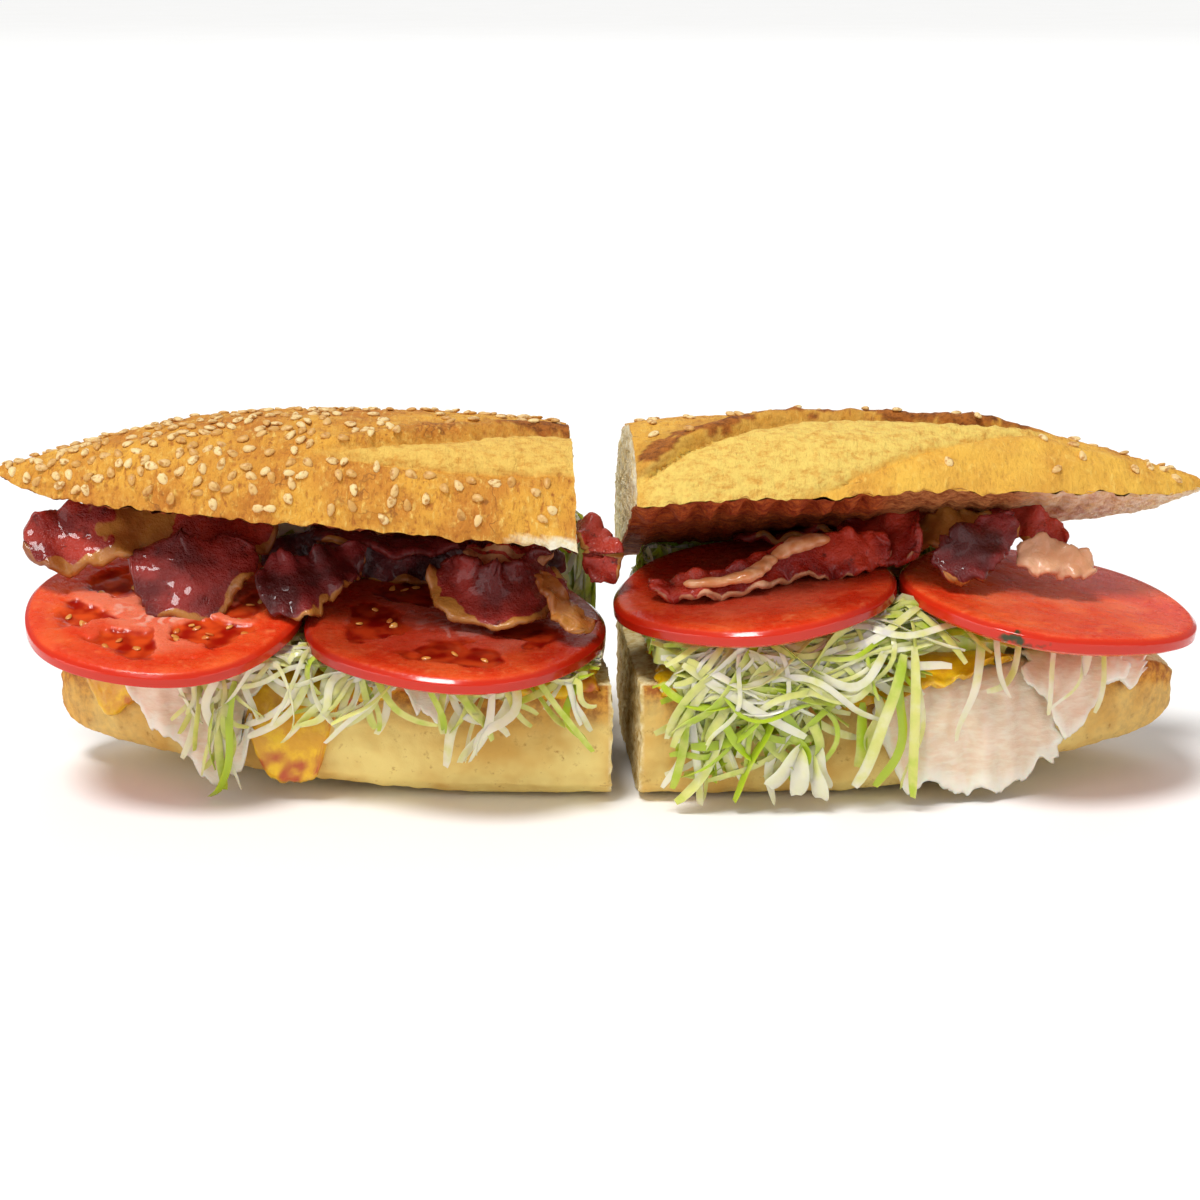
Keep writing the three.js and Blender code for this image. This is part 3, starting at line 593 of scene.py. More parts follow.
def base_section(half, x, v):
    """y and z round the base's section at v: under, up the front side, over the top and down the back."""
    width, radius, edge, _ = shoulder(half, x)
    folded = folded_rows(v)
    side = np.where(v < 0.5, -1, 1)
    climb = np.clip((folded - SIDE_AT) / (SHOULDER_AT - SIDE_AT), 0, 1) * (len(SIDE_HEIGHTS) - 1)
    z = np.interp(climb, range(len(SIDE_HEIGHTS)), SIDE_HEIGHTS)
    y = side_share(z) * width * np.clip(folded / SIDE_AT, 0, 1)
    turn = np.clip((folded - SHOULDER_AT) / (TOP_AT - SHOULDER_AT), 0, 1) * math.pi / 2
    y = np.where(folded > SHOULDER_AT, edge + radius * np.cos(turn), y)
    z = np.where(folded > SHOULDER_AT, SIDE_TOP + (BASE_HEIGHT - SIDE_TOP) * np.sin(turn), z)
    inward = np.clip((folded - TOP_AT) / (1 - TOP_AT), 0, 1)
    y = np.where(folded > TOP_AT, edge * (1 - inward), y)
    z = np.where(folded > TOP_AT, BASE_HEIGHT - 0.6 * smoothstep(0, 0.6, inward), z)
    return side * y, z


def base_form(half):
    def form(u, v):
        t = along_roll(u) * 0.9975
        x = mix(half["base_cut"], half["base_tip"], t)
        y, z = base_section(half, x, v)
        # dents, and a long crease in the front of the side
        sunk = np.where((z > 1) & (z < 24), 0.5 + 0.5 * wobble(x, z, half["side"]), 0)
        y = y - np.sign(y) * 0.5 * sunk
        crease_at = 7.5 - 0.045 * x * half["side"]
        crease = np.exp(-(((z - crease_at) / 0.9) ** 2)) * smoothstep(70, 40, np.abs(x)) * (y < 0)
        y = y + 0.55 * crease
        # the tip: the underside lifts, and the section closes to a round end
        from_tip = np.abs(half["base_tip"] - x)
        height, length = half["rocker"]
        low = height * np.clip(1 - from_tip / length, 0, 1) ** 1.3
        high = BASE_HEIGHT - 3 * np.clip(1 - from_tip / 20, 0, 1) ** 2
        squeezed = low + z * (high - low) / BASE_HEIGHT
        round_off = np.sqrt(1 - np.clip(1 - from_tip / 9, 0, 1) ** 2)
        squeezed = mix((low + high) / 2, squeezed, mix(0.3, 1, round_off))
        points = np.stack([skewed(half, "base", x, y), y, squeezed], -1)
        middle = np.array([half["base_cut"], 0, BASE_HEIGHT / 2])
        return ends_closed(u, middle, points, np.stack([x, 0 * x, (low + high) / 2], -1))

    return form


def base_masks(half):
    """Where the base is bare crumb and where it is browned."""
    crumb = lambda u, v, points: np.where((u < CUT_SHARE) | (folded_rows(v) > 0.6), 1, 0)

    def browned(u, v, points):
        uneven = folded_rows(v) + 0.05 * grain(points, 9, 3, 5)
        edge = smoothstep(0.40, 0.55, uneven) * (u >= CUT_SHARE)
        tip = smoothstep(0.5, 0.9, u) * 0.6
        return np.clip(edge + tip, 0, 1) * (folded_rows(v) < 0.66)

    return dict(crumb=crumb, browned=browned)


# %% Wrap the bases
bases = {}
for name, half in (("left", LEFT), ("right", RIGHT)):
    bases[name] = wrapped(f"base_{name}_baked", 180, 150, base_form(half), **base_masks(half))
    weld(bases[name], 50)
    print("base", name, len(bases[name].data.polygons), "faces")

# %% [markdown]
# ## Roughen the bread
# Crust is blistered by steam and its crumb side is torn open. Two Displace modifiers work these in: slow
# blisters over the whole piece, and pores of one to two millimetres only where the crumb is bare, which a
# vertex group limits. Finer crackle is left to the material's bump.

# %% Displace crust and crumb
def clouds(name, size, depth):
    texture = bpy.data.textures.new(name, "CLOUDS")
    texture.noise_scale = size * MM
    texture.noise_depth = depth
    return texture


def group_from(obj, mask):
    """A vertex group with the weights of a painted mask, in three steps."""
    values = np.empty(len(obj.data.vertices), np.float32)
    obj.data.attributes[mask].data.foreach_get("value", values)
    group = obj.vertex_groups.new(name=mask)
    for weight in (0.35, 0.7, 1.0):
        chosen = np.abs(values - weight) <= 0.18 if weight < 1 else values > 0.85
        group.add(np.nonzero(chosen)[0].tolist(), weight, "REPLACE")
    return group.name


def roughen(piece, texture, depth, mask=None, **settings):
    """Displaces a piece by a depth in mm, and only where a mask is painted if one is named."""
    if mask:
        settings["vertex_group"] = group_from(piece, mask)
    modify(piece, "DISPLACE", texture=texture, strength=depth * MM, texture_coords="LOCAL", **settings)


blisters, pores = clouds("crust_blisters", 4, 4), clouds("crumb_pores", 1.9, 3)
stretched = clouds("bloom_tears", 2.2, 4)
for piece in [*lids.values(), *bases.values()]:
    roughen(piece, blisters, 1.2)
    roughen(piece, pores, 1.6, "crumb")
for piece in lids.values():
    roughen(piece, stretched, 1.3, "bloom")
    roughen(piece, stretched, 1.2, "ear")
for name, piece in lids.items():
    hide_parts("lid_" + name)
for name, piece in bases.items():
    set_on_table(piece)
    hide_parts("base_" + name)

# %% [markdown]
# ## How the materials are built
# Every food here is built in the same order, so three helpers carry it. The first starts a material with what
# it can read: its place, the masks painted on the piece, and noises at their real sizes. The second lays
# colours over one another, as glazes on a painting. The last adds the small relief and the shader.

# %% Start, layer and finish a material
UNDER, OVER, MIXED = 6, 7, 2  # a Mix node's sockets when it mixes colours; 0 is its share
UNTURNED = (0, 0, 0)


def started(name, masks=(), **noises):
    """A new material, and what its pattern can read: the place, painted masks, and noises.

    A noise is (size in mm, detail, roughness), and can be turned and squeezed by two more values."""
    material = bpy.data.materials.new(name)
    material.use_nodes = True
    material.node_tree.nodes.clear()
    place = add(material, "ShaderNodeTexCoord").outputs["Object"]
    read = {mask: add(material, "ShaderNodeAttribute", attribute_name=mask).outputs["Fac"] for mask in masks}
    for noise_name, (size, detail, rough, *mapping) in noises.items():
        inputs = {"Vector": place, "Scale": 1 / (size * MM), "Detail": detail, "Roughness": rough}
        if mapping:
            turned = {"Vector": place, "Rotation": mapping[0], "Scale": mapping[1]}
            inputs["Vector"] = add(material, "ShaderNodeMapping", turned).outputs["Vector"]
        read[noise_name] = add(material, "ShaderNodeTexNoise", inputs).outputs["Fac"]
    return material, {"place": place, **read}


def layered(material, colour, *layers):
    """Lays colours over the first. A layer is its share, where that starts and is full, and its colour.

    With None in the middle, the share is used as it is."""
    linear = lambda c: srgb(c) if isinstance(c, str) else c
    colour = linear(colour)
    for share, span, over in layers:
        if span:
            inputs = {"Value": share, "From Min": span[0], "From Max": span[1]}
            eased = add(material, "ShaderNodeMapRange", inputs, interpolation_type="SMOOTHSTEP")
            share = eased.outputs["Result"]
        inputs = {0: share, UNDER: colour, OVER: linear(over)}
        colour = add(material, "ShaderNodeMix", inputs, data_type="RGBA").outputs[MIXED]
    return colour


def finished(material, pieces, colour, bumps, **inputs):
    """Adds the bumps (height, strength, distance in mm), the shader and the output, and dresses the pieces.

    An input is named for its socket, with _ for each space."""
    sockets = {socket.replace("_", " "): value for socket, value in inputs.items()}
    for height, strength, distance in bumps:
        bumpy = {"Height": height, "Strength": strength, "Distance": distance * MM}
        if "Normal" in sockets:
            bumpy["Normal"] = sockets["Normal"]
        sockets["Normal"] = add(material, "ShaderNodeBump", bumpy).outputs["Normal"]
    shader = add(material, "ShaderNodeBsdfPrincipled", {"Base Color": colour, **sockets})
    add(material, "ShaderNodeOutputMaterial", {"Surface": shader.outputs["BSDF"]})
    for piece in pieces:
        piece.data.materials.append(material)
    print("material", material.name, len(material.node_tree.nodes), "nodes")


# %% [markdown]
# ## Crust and crumb
# Crust is a thin layer of browned starch, matt with a faint sheen where the seeds' oil has rubbed off. It
# goes from straw yellow to chestnut in soft patches of one to three centimetres with freckles of a
# millimetre or two. The bloom is pale and shows stretched tears. Crumb is creamy, and toasted to red-brown
# on the lids' undersides, which lay on the hot plate.

# %% Bread material for the lids: what it reads
toasted, read = started(
    "baked_wheat_crust_seeded", ["bloom", "ear", "crumb", "toast", "fair"],
    patches=(19, 3, 0.6), freckles=(2.4, 4, 0.65),
    wrinkles=(3.2, 5, 0.7, UNTURNED, (2.4, 1, 1)), tears=(3, 6, 0.75, UNTURNED, (1, 1.7, 1.7)),
)
fair_share = add(toasted, "ShaderNodeMath", {0: read["fair"], 1: 0.72}, operation="MULTIPLY").outputs[0]
along = add(toasted, "ShaderNodeSeparateXYZ", {"Vector": read["place"]}).outputs["X"]
# A few splits of the crust: the edges of long cells, bent by a noise, where the patches are dark.
cells = add(toasted, "ShaderNodeMapping", {"Vector": read["place"], "Scale": (1, 0.3, 0.3)}).outputs["Vector"]
bend = add(toasted, "ShaderNodeTexNoise", {"Vector": read["place"], "Scale": 1 / (4 * MM)}).outputs["Color"]
cells = add(toasted, "ShaderNodeMix", {0: 0.012, 4: cells, 5: bend}, data_type="VECTOR").outputs[1]
splits = add(
    toasted, "ShaderNodeTexVoronoi", {"Vector": cells, "Scale": 1 / (22 * MM)}, feature="DISTANCE_TO_EDGE"
).outputs["Distance"]
few = 1.0
for value, low, high in ((splits, 0.02, 0.0), (read["patches"], 0.5, 0.62)):
    few = {"Value": value, "From Min": low, "From Max": high, "To Max": few}
    few = add(toasted, "ShaderNodeMapRange", few, interpolation_type="SMOOTHSTEP").outputs["Result"]

# %% Bread material for the lids: its colours
torn = read["tears"]
browner = layered(toasted, "d8983c", (torn, (0.3, 0.58), "f2c762"))
bloom = layered(toasted, "dca044", (torn, (0.3, 0.58), "f4d26c"))
bloom = layered(toasted, bloom, (along, (0.001, -0.001), browner))  # the left half's is browner
ear = layered(toasted, "63300f", (torn, (0.3, 0.62), "b56a26"))
amber = layered(toasted, "8c4e24", (torn, (0.35, 0.66), "d69c62"))
toast = layered(toasted, "842e18", (torn, (0.35, 0.66), "c0642c"))
crumb = layered(
    toasted, "f3dca0", (read["freckles"], (0.35, 0.65), "fff7dc"),
    (read["toast"], (0.0, 0.5), amber), (read["toast"], (0.55, 0.9), toast),
)
crust = layered(
    toasted, "eaab40", (read["patches"], (0.36, 0.66), "cf8430"),
    (read["wrinkles"], (0.5, 0.32), "bc742a"), (read["wrinkles"], (0.55, 0.72), "f6cc6c"),
    (read["freckles"], (0.52, 0.8), "f3c664"), (read["freckles"], (0.44, 0.24), "a85e24"),
    (fair_share, None, "fccb54"), (few, None, "9c6028"), (read["bloom"], None, bloom),
    (read["ear"], (0.12, 0.75), ear), (read["crumb"], None, crumb),
)
gloss = {"Value": read["freckles"], "To Min": 0.5, "To Max": 0.78}
gloss = add(toasted, "ShaderNodeMapRange", gloss).outputs["Result"]
bumps = [(read["wrinkles"], 0.9, 1.0), (read["freckles"], 0.7, 0.8)]
finished(toasted, lids.values(), crust, bumps, Roughness=gloss, Specular_IOR_Level=0.22)
for piece in lids.values():
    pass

# %% Bread material for the bases
pale, read = started(
    "baked_wheat_crust_pale", ["browned", "crumb"],
    patches=(19, 3, 0.6), freckles=(2.4, 4, 0.65), crackle=(1.1, 4, 0.7),
)
browned = layered(pale, "a8622a", (read["freckles"], (0.35, 0.65), "e0a040"))
crumb = layered(pale, "d8b870", (read["freckles"], (0.35, 0.65), "f8e8b8"))
crust = layered(
    pale, "f6dd8a", (read["patches"], (0.35, 0.68), "deb05c"), (read["freckles"], (0.42, 0.22), "c0914a"),
    (read["browned"], None, browned), (read["crumb"], None, crumb),
)
bumps = [(read["crackle"], 0.4, 0.5), (read["patches"], 0.5, 3)]
finished(pale, bases.values(), crust, bumps, Roughness=0.72, Specular_IOR_Level=0.2)
for piece in bases.values():
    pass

# %% [markdown]
# ## Sesame seeds
# A hulled sesame seed is a flat teardrop, 3.3 mm long, 2 mm wide and 1 mm thick, ivory with a toasted rim.
# Hundreds lie on the crust at all angles, dense towards the tips and the crown and with none on the bloom.
# One seed is modelled with few faces and copied with its own turn, size and tone.


# %% Copy one piece to many places
def meshed(name, points, faces):
    """A new piece made of points in metres and faces."""
    mesh = bpy.data.meshes.new(name)
    mesh.from_pydata(points.tolist(), [], faces)
    obj = bpy.data.objects.new(name, mesh)
    bpy.context.scene.collection.objects.link(obj)
    return take(obj)


def copies(name, pattern, places, tones):
    """One joined mesh with a copy of the pattern at each 4x4 matrix, and a tone painted on each copy."""
    count = len(pattern.data.vertices)
    flat = np.empty(count * 3, np.float32)
    pattern.data.vertices.foreach_get("co", flat)
    shape = np.c_[flat.reshape(-1, 3), np.ones(count)]
    points = np.concatenate([(shape @ np.array(place).T)[:, :3] for place in places])
    rounds = [face.vertices for face in pattern.data.polygons]
    faces = [tuple(i + k * count for i in corners) for k in range(len(places)) for corners in rounds]
    obj = meshed(name, points, faces)
    paint(obj, "tone", np.repeat(tones, count))
    bpy.ops.object.shade_smooth()
    return obj


def standing(point, out, spin, size):
    """A matrix that sets a piece on a surface: its z along out, turned by spin about it."""
    turn = Vector(out).to_track_quat("Z", "Y").to_matrix() @ Matrix.Rotation(spin, 3, "Z")
    return Matrix.Translation(Vector(metres(point))) @ turn.to_4x4() @ Matrix.Diagonal((*size, 1))


# %% Model one seed
def flat_seed(name, half_length, half_width, half_thick):
    """A teardrop, flattened, with its point along x."""
    bpy.ops.object.select_all(action="DESELECT")
    bpy.ops.mesh.primitive_uv_sphere_add(segments=8, ring_count=6, radius=MM)
    made = bpy.context.active_object
    made.name = name
    for vertex in made.data.vertices:
        along = vertex.co.x / MM
        vertex.co.x *= half_length
        vertex.co.y *= half_width * (1 - 0.33 * along)
        vertex.co.z *= half_thick * (1 + 0.2 * along)
    return made


seed = flat_seed("sesame_seed", 1.65, 1.02, 0.52)

# %% Strew the seeds
MOST_TRIES, SEED_GAP, BLOOM_GAP = 40000, 2.5, 2.5  # draws at most, mm between seeds, degrees off the bloom


def seed_density(half, x, degrees):
    """How thickly the seeds lie, from 0 to 1."""
    outer = abs(x)
    if half["side"] < 0:
        if outer > 66:
            return 1.0 if degrees > 20 else 0.4
        if degrees > 95:
            return 0.6
        return 0.4 if outer > 48 else 0.2
    if outer < 24:
        return 0.3 if degrees > 40 else 0.0
    return 0.45 if outer > 112 and degrees > 30 else 0.1


def strew(half, wanted):
    points, outs = [], []
    tries = 0
    while len(points) < wanted and tries < MOST_TRIES:
        tries += 1
        t, degrees = rng.uniform(0.015, 0.985), rng.uniform(6, 172)
        x = mix(half["lid_cut"], half["lid_tip"], t)
        share, deep, reach = slash(half, np.array([x]), np.array([degrees]))
        on_bloom = deep[0] > 0.2 and abs(share[0]) < 1 + BLOOM_GAP / reach[0]
        if on_bloom or rng.uniform() > seed_density(half, x, degrees) * (1 - t) ** 0.35 + 0.02 * t:
            continue
        here, above = crust_point(half, np.array([t, t]), np.array([degrees, degrees]), np.array([0, 1.0]))
        if points and min(np.linalg.norm(np.array(points) - here, axis=1)) < SEED_GAP:
            continue
        points.append(here)
        outs.append(above - here)
    return points, outs


rng = np.random.default_rng(20261)
TURN = 2 * math.pi
for name, half, wanted in (("left", LEFT, 430), ("right", RIGHT, 90)):
    points, outs = strew(half, wanted)
    places = [
        standing(p + 0.35 * o, o + rng.normal(0, 0.12, 3), rng.uniform(0, TURN), rng.normal(1, 0.07, 3))
        for p, o in zip(points, outs)
    ]
    seeds = copies("sesame_" + name, seed, places, rng.uniform(0, 1, len(places)))
    print("sesame seeds,", name, len(places))
bpy.data.objects.remove(seed)

# %% Sesame material
hulled, read = started("hulled_sesame_toasted", ["tone"], mottle=(1.2, 2, 0.5))
ivory = layered(
    hulled, "f0d293", (read["tone"], (0.1, 1.0), "d59f50"), (read["mottle"], (0.48, 0.7), "ba8038")
)
strewn = [bpy.data.objects["sesame_" + name] for name in ("left", "right")]
finished(hulled, strewn, ivory, [], Roughness=0.42, Specular_IOR_Level=0.4)

# %% [markdown]
# ## Cheese and turkey
# Melted cheese hugs the base and has run over its shoulder in tongues with a fat rounded edge. Shaved
# turkey is laid in loose folds over it, with torn edges that hang down the front. Both are thin sheets
# draped over the same form, so one function lays them: it follows the base's skin at a height above it, from
# behind the centre line to a front line given in millimetres past the shoulder.


# %% Lay a sheet over the base
def draped(half, x0, x1, back, front, height, ripple, ragged, seed):
    """A surface over the base for shell(): u runs along the roll, v from behind to the hanging edge."""

    def surface(u, v):
        x = mix(x0, x1, u) + ragged * 1.8 * tear(45 * v, 5, seed) * (2 * u - 1)
        _, _, edge, arc = shoulder(half, x, height)
        torn = ragged * (1.7 * tear(x, 11, seed) + 0.7 * tear(x, 2.4, seed + 3))
        far = edge + eased_along(front, x) + torn * smoothstep(0.55, 1, v)
        near = -np.minimum(edge - 2, back)
        q = mix(near, far, v**0.8)
        hanging = smoothstep(0, 12, q - edge)
        fold = np.sin(x * 0.42 + seed + 0.05 * q) + 0.6 * np.sin(x * 0.83 - 0.11 * q + 2 * seed)
        rise = ripple * (0.45 + 1.3 * hanging) * (0.8 + 0.6 * fold)
        y, z = skin(half, x, q, height + rise)
        return np.stack([skewed(half, "base", x, y), y, np.maximum(z, 0.5 + 0.2 * u)], -1)

    return surface


def rounded(thick, length, fat=0):
    """Thickness that rounds off at the side edges and the front edge, where it can be fatter."""

    def rule(u, v):
        edge = np.minimum(np.minimum(u, 1 - u) * length, (1 - v) * 60)
        swell = 1 + fat * smoothstep(0.7, 0.93, v)
        return thick * swell * np.sqrt(1 - (1 - np.clip(edge / (thick * swell), 0, 1)) ** 2)

    return rule


# %% Cheese pieces
CHEESE = {
    "cheese_left_1": (LEFT, -129, -94, [(-129, 9), (-123, 17), (-113, 9), (-94, 5)], 1),
    "cheese_left_2": (LEFT, -92, -3, [(-92, 6), (-82, 30), (-72, 27), (-64, 8), (-40, 5), (-3, 6)], 2),
    "cheese_right_1": (RIGHT, 12, 74, [(12, 6), (20, 9), (28, 20), (36, 7), (74, 6)], 3),
    "cheese_right_2": (RIGHT, 76, 134, [(76, 5), (100, 8), (120, 7), (134, 5)], 4),
    "cheese_right_upper": (RIGHT, 46, 100, [(46, 8), (56, 18), (66, 16), (84, 11), (100, 5)], 5),
}
cheeses = []
crisping = clouds("crisped_cheese", 3, 3)
for name, (half, x0, x1, front, number) in CHEESE.items():
    back, height = (-29, 6.3) if name.endswith("upper") else (33, 1.0)
    surface = draped(half, x0, x1, back, front, height, 0.3, 0.8, number)
    crisp = lambda u, v, p: smoothstep(0.72, 0.99, v) * (0.6 + 0.6 * grain(p, 6, 3, number))
    columns = int(abs(x1 - x0) / 0.7)
    piece = shell(name + "_melted", columns, 70, surface, rounded(1.7, x1 - x0, 0.7), crisp=crisp)
    roughen(piece, crisping, 0.7)
    set_on_table(piece)
    if name in frame["nodes"]:
        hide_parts(name)
    cheeses.append(piece)

# %% Turkey pieces
TURKEY = {
    "turkey_left_1": (LEFT, -124, -86, [(-124, 6), (-104, 24), (-96, 34), (-90, 30), (-86, 20)], 1, 3.1, 31),
    "turkey_left_2": (LEFT, -62, -36, [(-62, 6), (-50, 11), (-42, 13), (-36, 8)], 2, 3.1, 31),
    "turkey_right_1": (RIGHT, 66, 112, [(66, 22), (74, 34), (96, 36), (112, 30)], 3, 3.1, 31),
    "turkey_right_2": (RIGHT, 104, 130, [(104, 12), (114, 26), (130, 14)], 4, 5.4, 24),
    "turkey_right_3": (RIGHT, 116, 136, [(116, 8), (126, 12), (136, 10)], 5, 3.1, 31),
    "turkey_right_4": (RIGHT, 46, 63, [(46, 5), (56, 8), (63, 12)], 6, 3.1, 31),
}
turkeys = []
fibres = clouds("turkey_fibres", 6, 3)
for name, (half, x0, x1, front, number, height, back) in TURKEY.items():
    ragged = 2.0 if half is LEFT else 1.2
    surface = draped(half, x0, x1, back, front, height, 0.8, ragged, number)
    frayed = lambda u, v, p: smoothstep(0.86, 1, v) + smoothstep(0.08, 0, u) + smoothstep(0.92, 1, u)
    columns = int(abs(x1 - x0) / 0.45)
    piece = shell(name + "_shaved", columns, 90, surface, rounded(1.1, x1 - x0), frayed=frayed)
    roughen(piece, fibres, 0.9)
    set_on_table(piece)
    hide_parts(name)
    turkeys.append(piece)
    print(name, len(piece.data.polygons), "faces")

# %% [markdown]
# ## Melted cheese and cooked turkey, as materials
# Melted cheese is an oily yellow solid that lets light a little way in. Where it met the hot plate it is
# blistered brown to rust. Turkey breast is pale pink-beige, moist and see-through at thin torn edges, which
# dry to white.

# %% Cheese material
melted, read = started("melted_yellow_cheese", ["crisp"], blotches=(6, 5, 0.65))
golden = layered(
    melted, "f6c80e", (read["blotches"], (0.35, 0.6), "e2a40a"), (read["blotches"], (0.64, 0.8), "b86820"),
    (read["crisp"], (0.55, 1.0), "c04e1a"),
)
finished(
    melted, cheeses, golden, [(read["blotches"], 0.5, 1.0)], Roughness=0.32, Subsurface_Weight=0.25,
    Subsurface_Radius=(0.004, 0.002, 0.0006), Subsurface_Scale=0.5, Coat_Weight=0.25, Coat_Roughness=0.2,
)

# %% Turkey material
cooked, read = started(
    "shaved_roast_turkey", ["frayed"], strands=(4, 5, 0.6, (0, 0.5, 0.3), (1, 1, 3.2))
)
flesh = layered(
    cooked, "edcfb2", (read["strands"], (0.35, 0.68), "f4e0c8"), (read["frayed"], (0.3, 1.0), "f7ecdb")
)
finished(
    cooked, turkeys, flesh, [(read["strands"], 0.5, 0.8)], Roughness=0.38, Subsurface_Weight=0.5,
    Subsurface_Radius=(0.004, 0.002, 0.0014), Subsurface_Scale=0.6, Coat_Weight=0.3, Coat_Roughness=0.25,
)

# %% [markdown]
# ## Tomato slices
# A slice across a tomato shows a wall of red flesh under a thin glossy skin, a pale core, spokes of flesh
# from core to wall, and between them chambers of wet gel with flat pale seeds. A slice near the end of the
# fruit is plain flesh. The slice is a grid wrapped from the middle of its face over the rim to the middle
# of its underside, and one function says how deep in a chamber each place of the face is.

# %% Numbers of the slices
# at is the middle of a slice's upper face, and slope is how that rises to the back and to the right. wet is
# how much of the gel shows, and deep is painted shade: how much darker the flesh is painted behind its front
# edge, where the lid and bacon shade it.
TOMATOES = {
    "tomato_left_1": dict(
        at=(-107.4, -22, 46.1), radius=34, slope=(0.23, -0.03), chambers=6, turn=0.3, wet=1.0, deep=0.0
    ),
    "tomato_left_2": dict(
        at=(-35.5, -22, 42.9), radius=37, slope=(0.13, -0.03), chambers=5, turn=1.05, wet=0.45, deep=1.0
    ),
    "tomato_right_1": dict(
        at=(38, -17, 51), radius=34.8, slope=(0.09, 0.085), chambers=5, turn=0.2, wet=0.2, deep=1.0
    ),
    "tomato_right_2": dict(
        at=(111, -15, 48), radius=36.8, slope=(0.05, -0.13), chambers=5, turn=0.9, wet=0.15, deep=0.1
    ),
}
SLICE_THICK, GEL_DEPTH = 4.3, 1.1  # mm
FACE_TO = 0.68  # of the rows: the upper face
ROWS = [0, FACE_TO, 0.74, 0.8, 0.86, 1]  # and at these, the share of the radius and of the thickness
ROW_SHARES, ROW_DEPTHS = [0, 0.965, 1, 1, 0.95, 0], [0, 0, 0.22, 0.75, 1, 1]


def tomato_top(slice_, x, y):
    (ax, ay, az), (back, right) = slice_["at"], slice_["slope"]
    return az + (y - ay) * back + (x - ax) * right


def chamber(slice_, share, angle):
    """1 in the middle of a gel chamber, 0 in the flesh."""
    turned = angle + slice_["turn"]
    flat = np.stack([share * np.cos(angle), share * np.sin(angle), 0 * share + slice_["turn"]], -1)
    drift = grain(flat, 0.22, 3, 3)
    uneven = turned + 0.16 * np.sin(2 * angle + slice_["turn"]) + 0.1 * np.sin(3 * angle) + 0.3 * drift
    # 1 on the middle of a spoke of flesh, 0 in the middle of a chamber
    spoke = np.abs((uneven * slice_["chambers"] / TURN) % 1 - 0.5) * 2
    wall = 1 - smoothstep(0.55, 0.78, spoke)
    ring = smoothstep(0.26, 0.4, share + 0.1 * drift) * (1 - smoothstep(0.66, 0.78, share + 0.08 * drift))
    return wall * ring


# %% Form and masks of a slice
def tomato_form(slice_, number):
    back, right = slice_["slope"]
    axes = [np.array(a, float) / np.linalg.norm(a) for a in ((1, 0, right), (0, 1, back), (-right, -back, 1))]

    def form(u, v):
        angle = TURN * u
        share = np.interp(v, ROWS, ROW_SHARES)
        depth = np.interp(v, ROWS, ROW_DEPTHS) * -SLICE_THICK
        uneven = 1 + 0.014 * np.sin(5 * angle + number) + 0.014 * np.sin(3 * angle - number)
        reach = slice_["radius"] * share * uneven
        top = v < FACE_TO
        depth = depth - np.where(top, GEL_DEPTH * slice_["wet"] * chamber(slice_, share, angle), 0)
        depth = depth + np.where(top, 0.25 * bump((share - 0.9) / 0.1), 0)
        local = [reach * np.cos(angle), reach * np.sin(angle), depth]
        return np.array(slice_["at"]) + sum(l[:, None] * a for l, a in zip(local, axes))

    return form


def tomato_masks(slice_):
    """Gel, pale core, flesh between the chambers, skin, the core's rays, and painted shade at the back."""
    wet, (_, middle, _) = slice_["wet"], slice_["at"]
    pale = min(2.2 * wet, 1)
    share = lambda v: np.interp(v, ROWS, ROW_SHARES)

    def inner(u, v, p):
        ragged = share(v) + 0.08 * grain(p, 6, 3, 9)
        return (v < 0.7) * pale * (1 - smoothstep(0.6, 0.74, ragged))

    return dict(
        gel=lambda u, v, p: (v < FACE_TO) * smoothstep(0.2, 0.45, wet) * chamber(slice_, share(v), TURN * u),
        core=lambda u, v, p: pale * (1 - smoothstep(0.1, 0.42, share(v) + 0.2 * grain(p, 5, 3, 7))),
        inner=inner,
        rim=lambda u, v, p: smoothstep(0.955, 0.985, share(v)),
        streak=lambda u, v, p: 0.5 + 0.5 * np.sin(u * TURN * slice_["chambers"] * 2 + 5 * grain(p, 4, 2, 8)),
        # deep is painted shade: darker towards the back of the slice, where the lid shades it
        deep=lambda u, v, p: slice_["deep"] * smoothstep(-1.0, -0.45, (p[:, 1] - middle) / slice_["radius"]),
    )


# %% Wrap the slices
tomatoes = []
for number, (name, slice_) in enumerate(TOMATOES.items(), 1):
    piece = wrapped(name + "_sliced", 220, 110, tomato_form(slice_, number), **tomato_masks(slice_))
    weld(piece, 60)
    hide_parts(name)
    tomatoes.append(piece)
print("tomato faces", len(piece.data.polygons))

# %% Tomato colours
ripe, read = started(
    "ripe_tomato_cut", ["gel", "core", "inner", "rim", "streak", "deep"],
    cells=(2.2, 4, 0.6), broad=(14, 2, 0.5), pulp=(4.5, 1, 0.5),
)
septum = layered(ripe, "e4502c", (read["broad"], (0.35, 0.65), "ee7a58"))
pale_core = layered(ripe, "ea6c4c", (read["streak"], (0.3, 0.9), "f2a48c"))
jelly = layered(ripe, "a41608", (read["pulp"], (0.32, 0.7), "e2501e"))
flesh = layered(
    ripe, "e23c18", (read["broad"], (0.35, 0.68), "f2602c"), (read["cells"], (0.52, 0.8), "f67d48"),
    (read["inner"], None, septum), (read["core"], (0.1, 0.9), pale_core), (read["gel"], (0.1, 0.7), jelly),
    (read["rim"], None, "d22c12"),
)
# Painted shade: the flesh is multiplied darker behind the front edge of the slices under the lid.
painted_shade = {0: read["deep"], UNDER: flesh, OVER: srgb("bfa4aa")}
flesh = add(ripe, "ShaderNodeMix", painted_shade, blend_type="MULTIPLY", data_type="RGBA").outputs[MIXED]

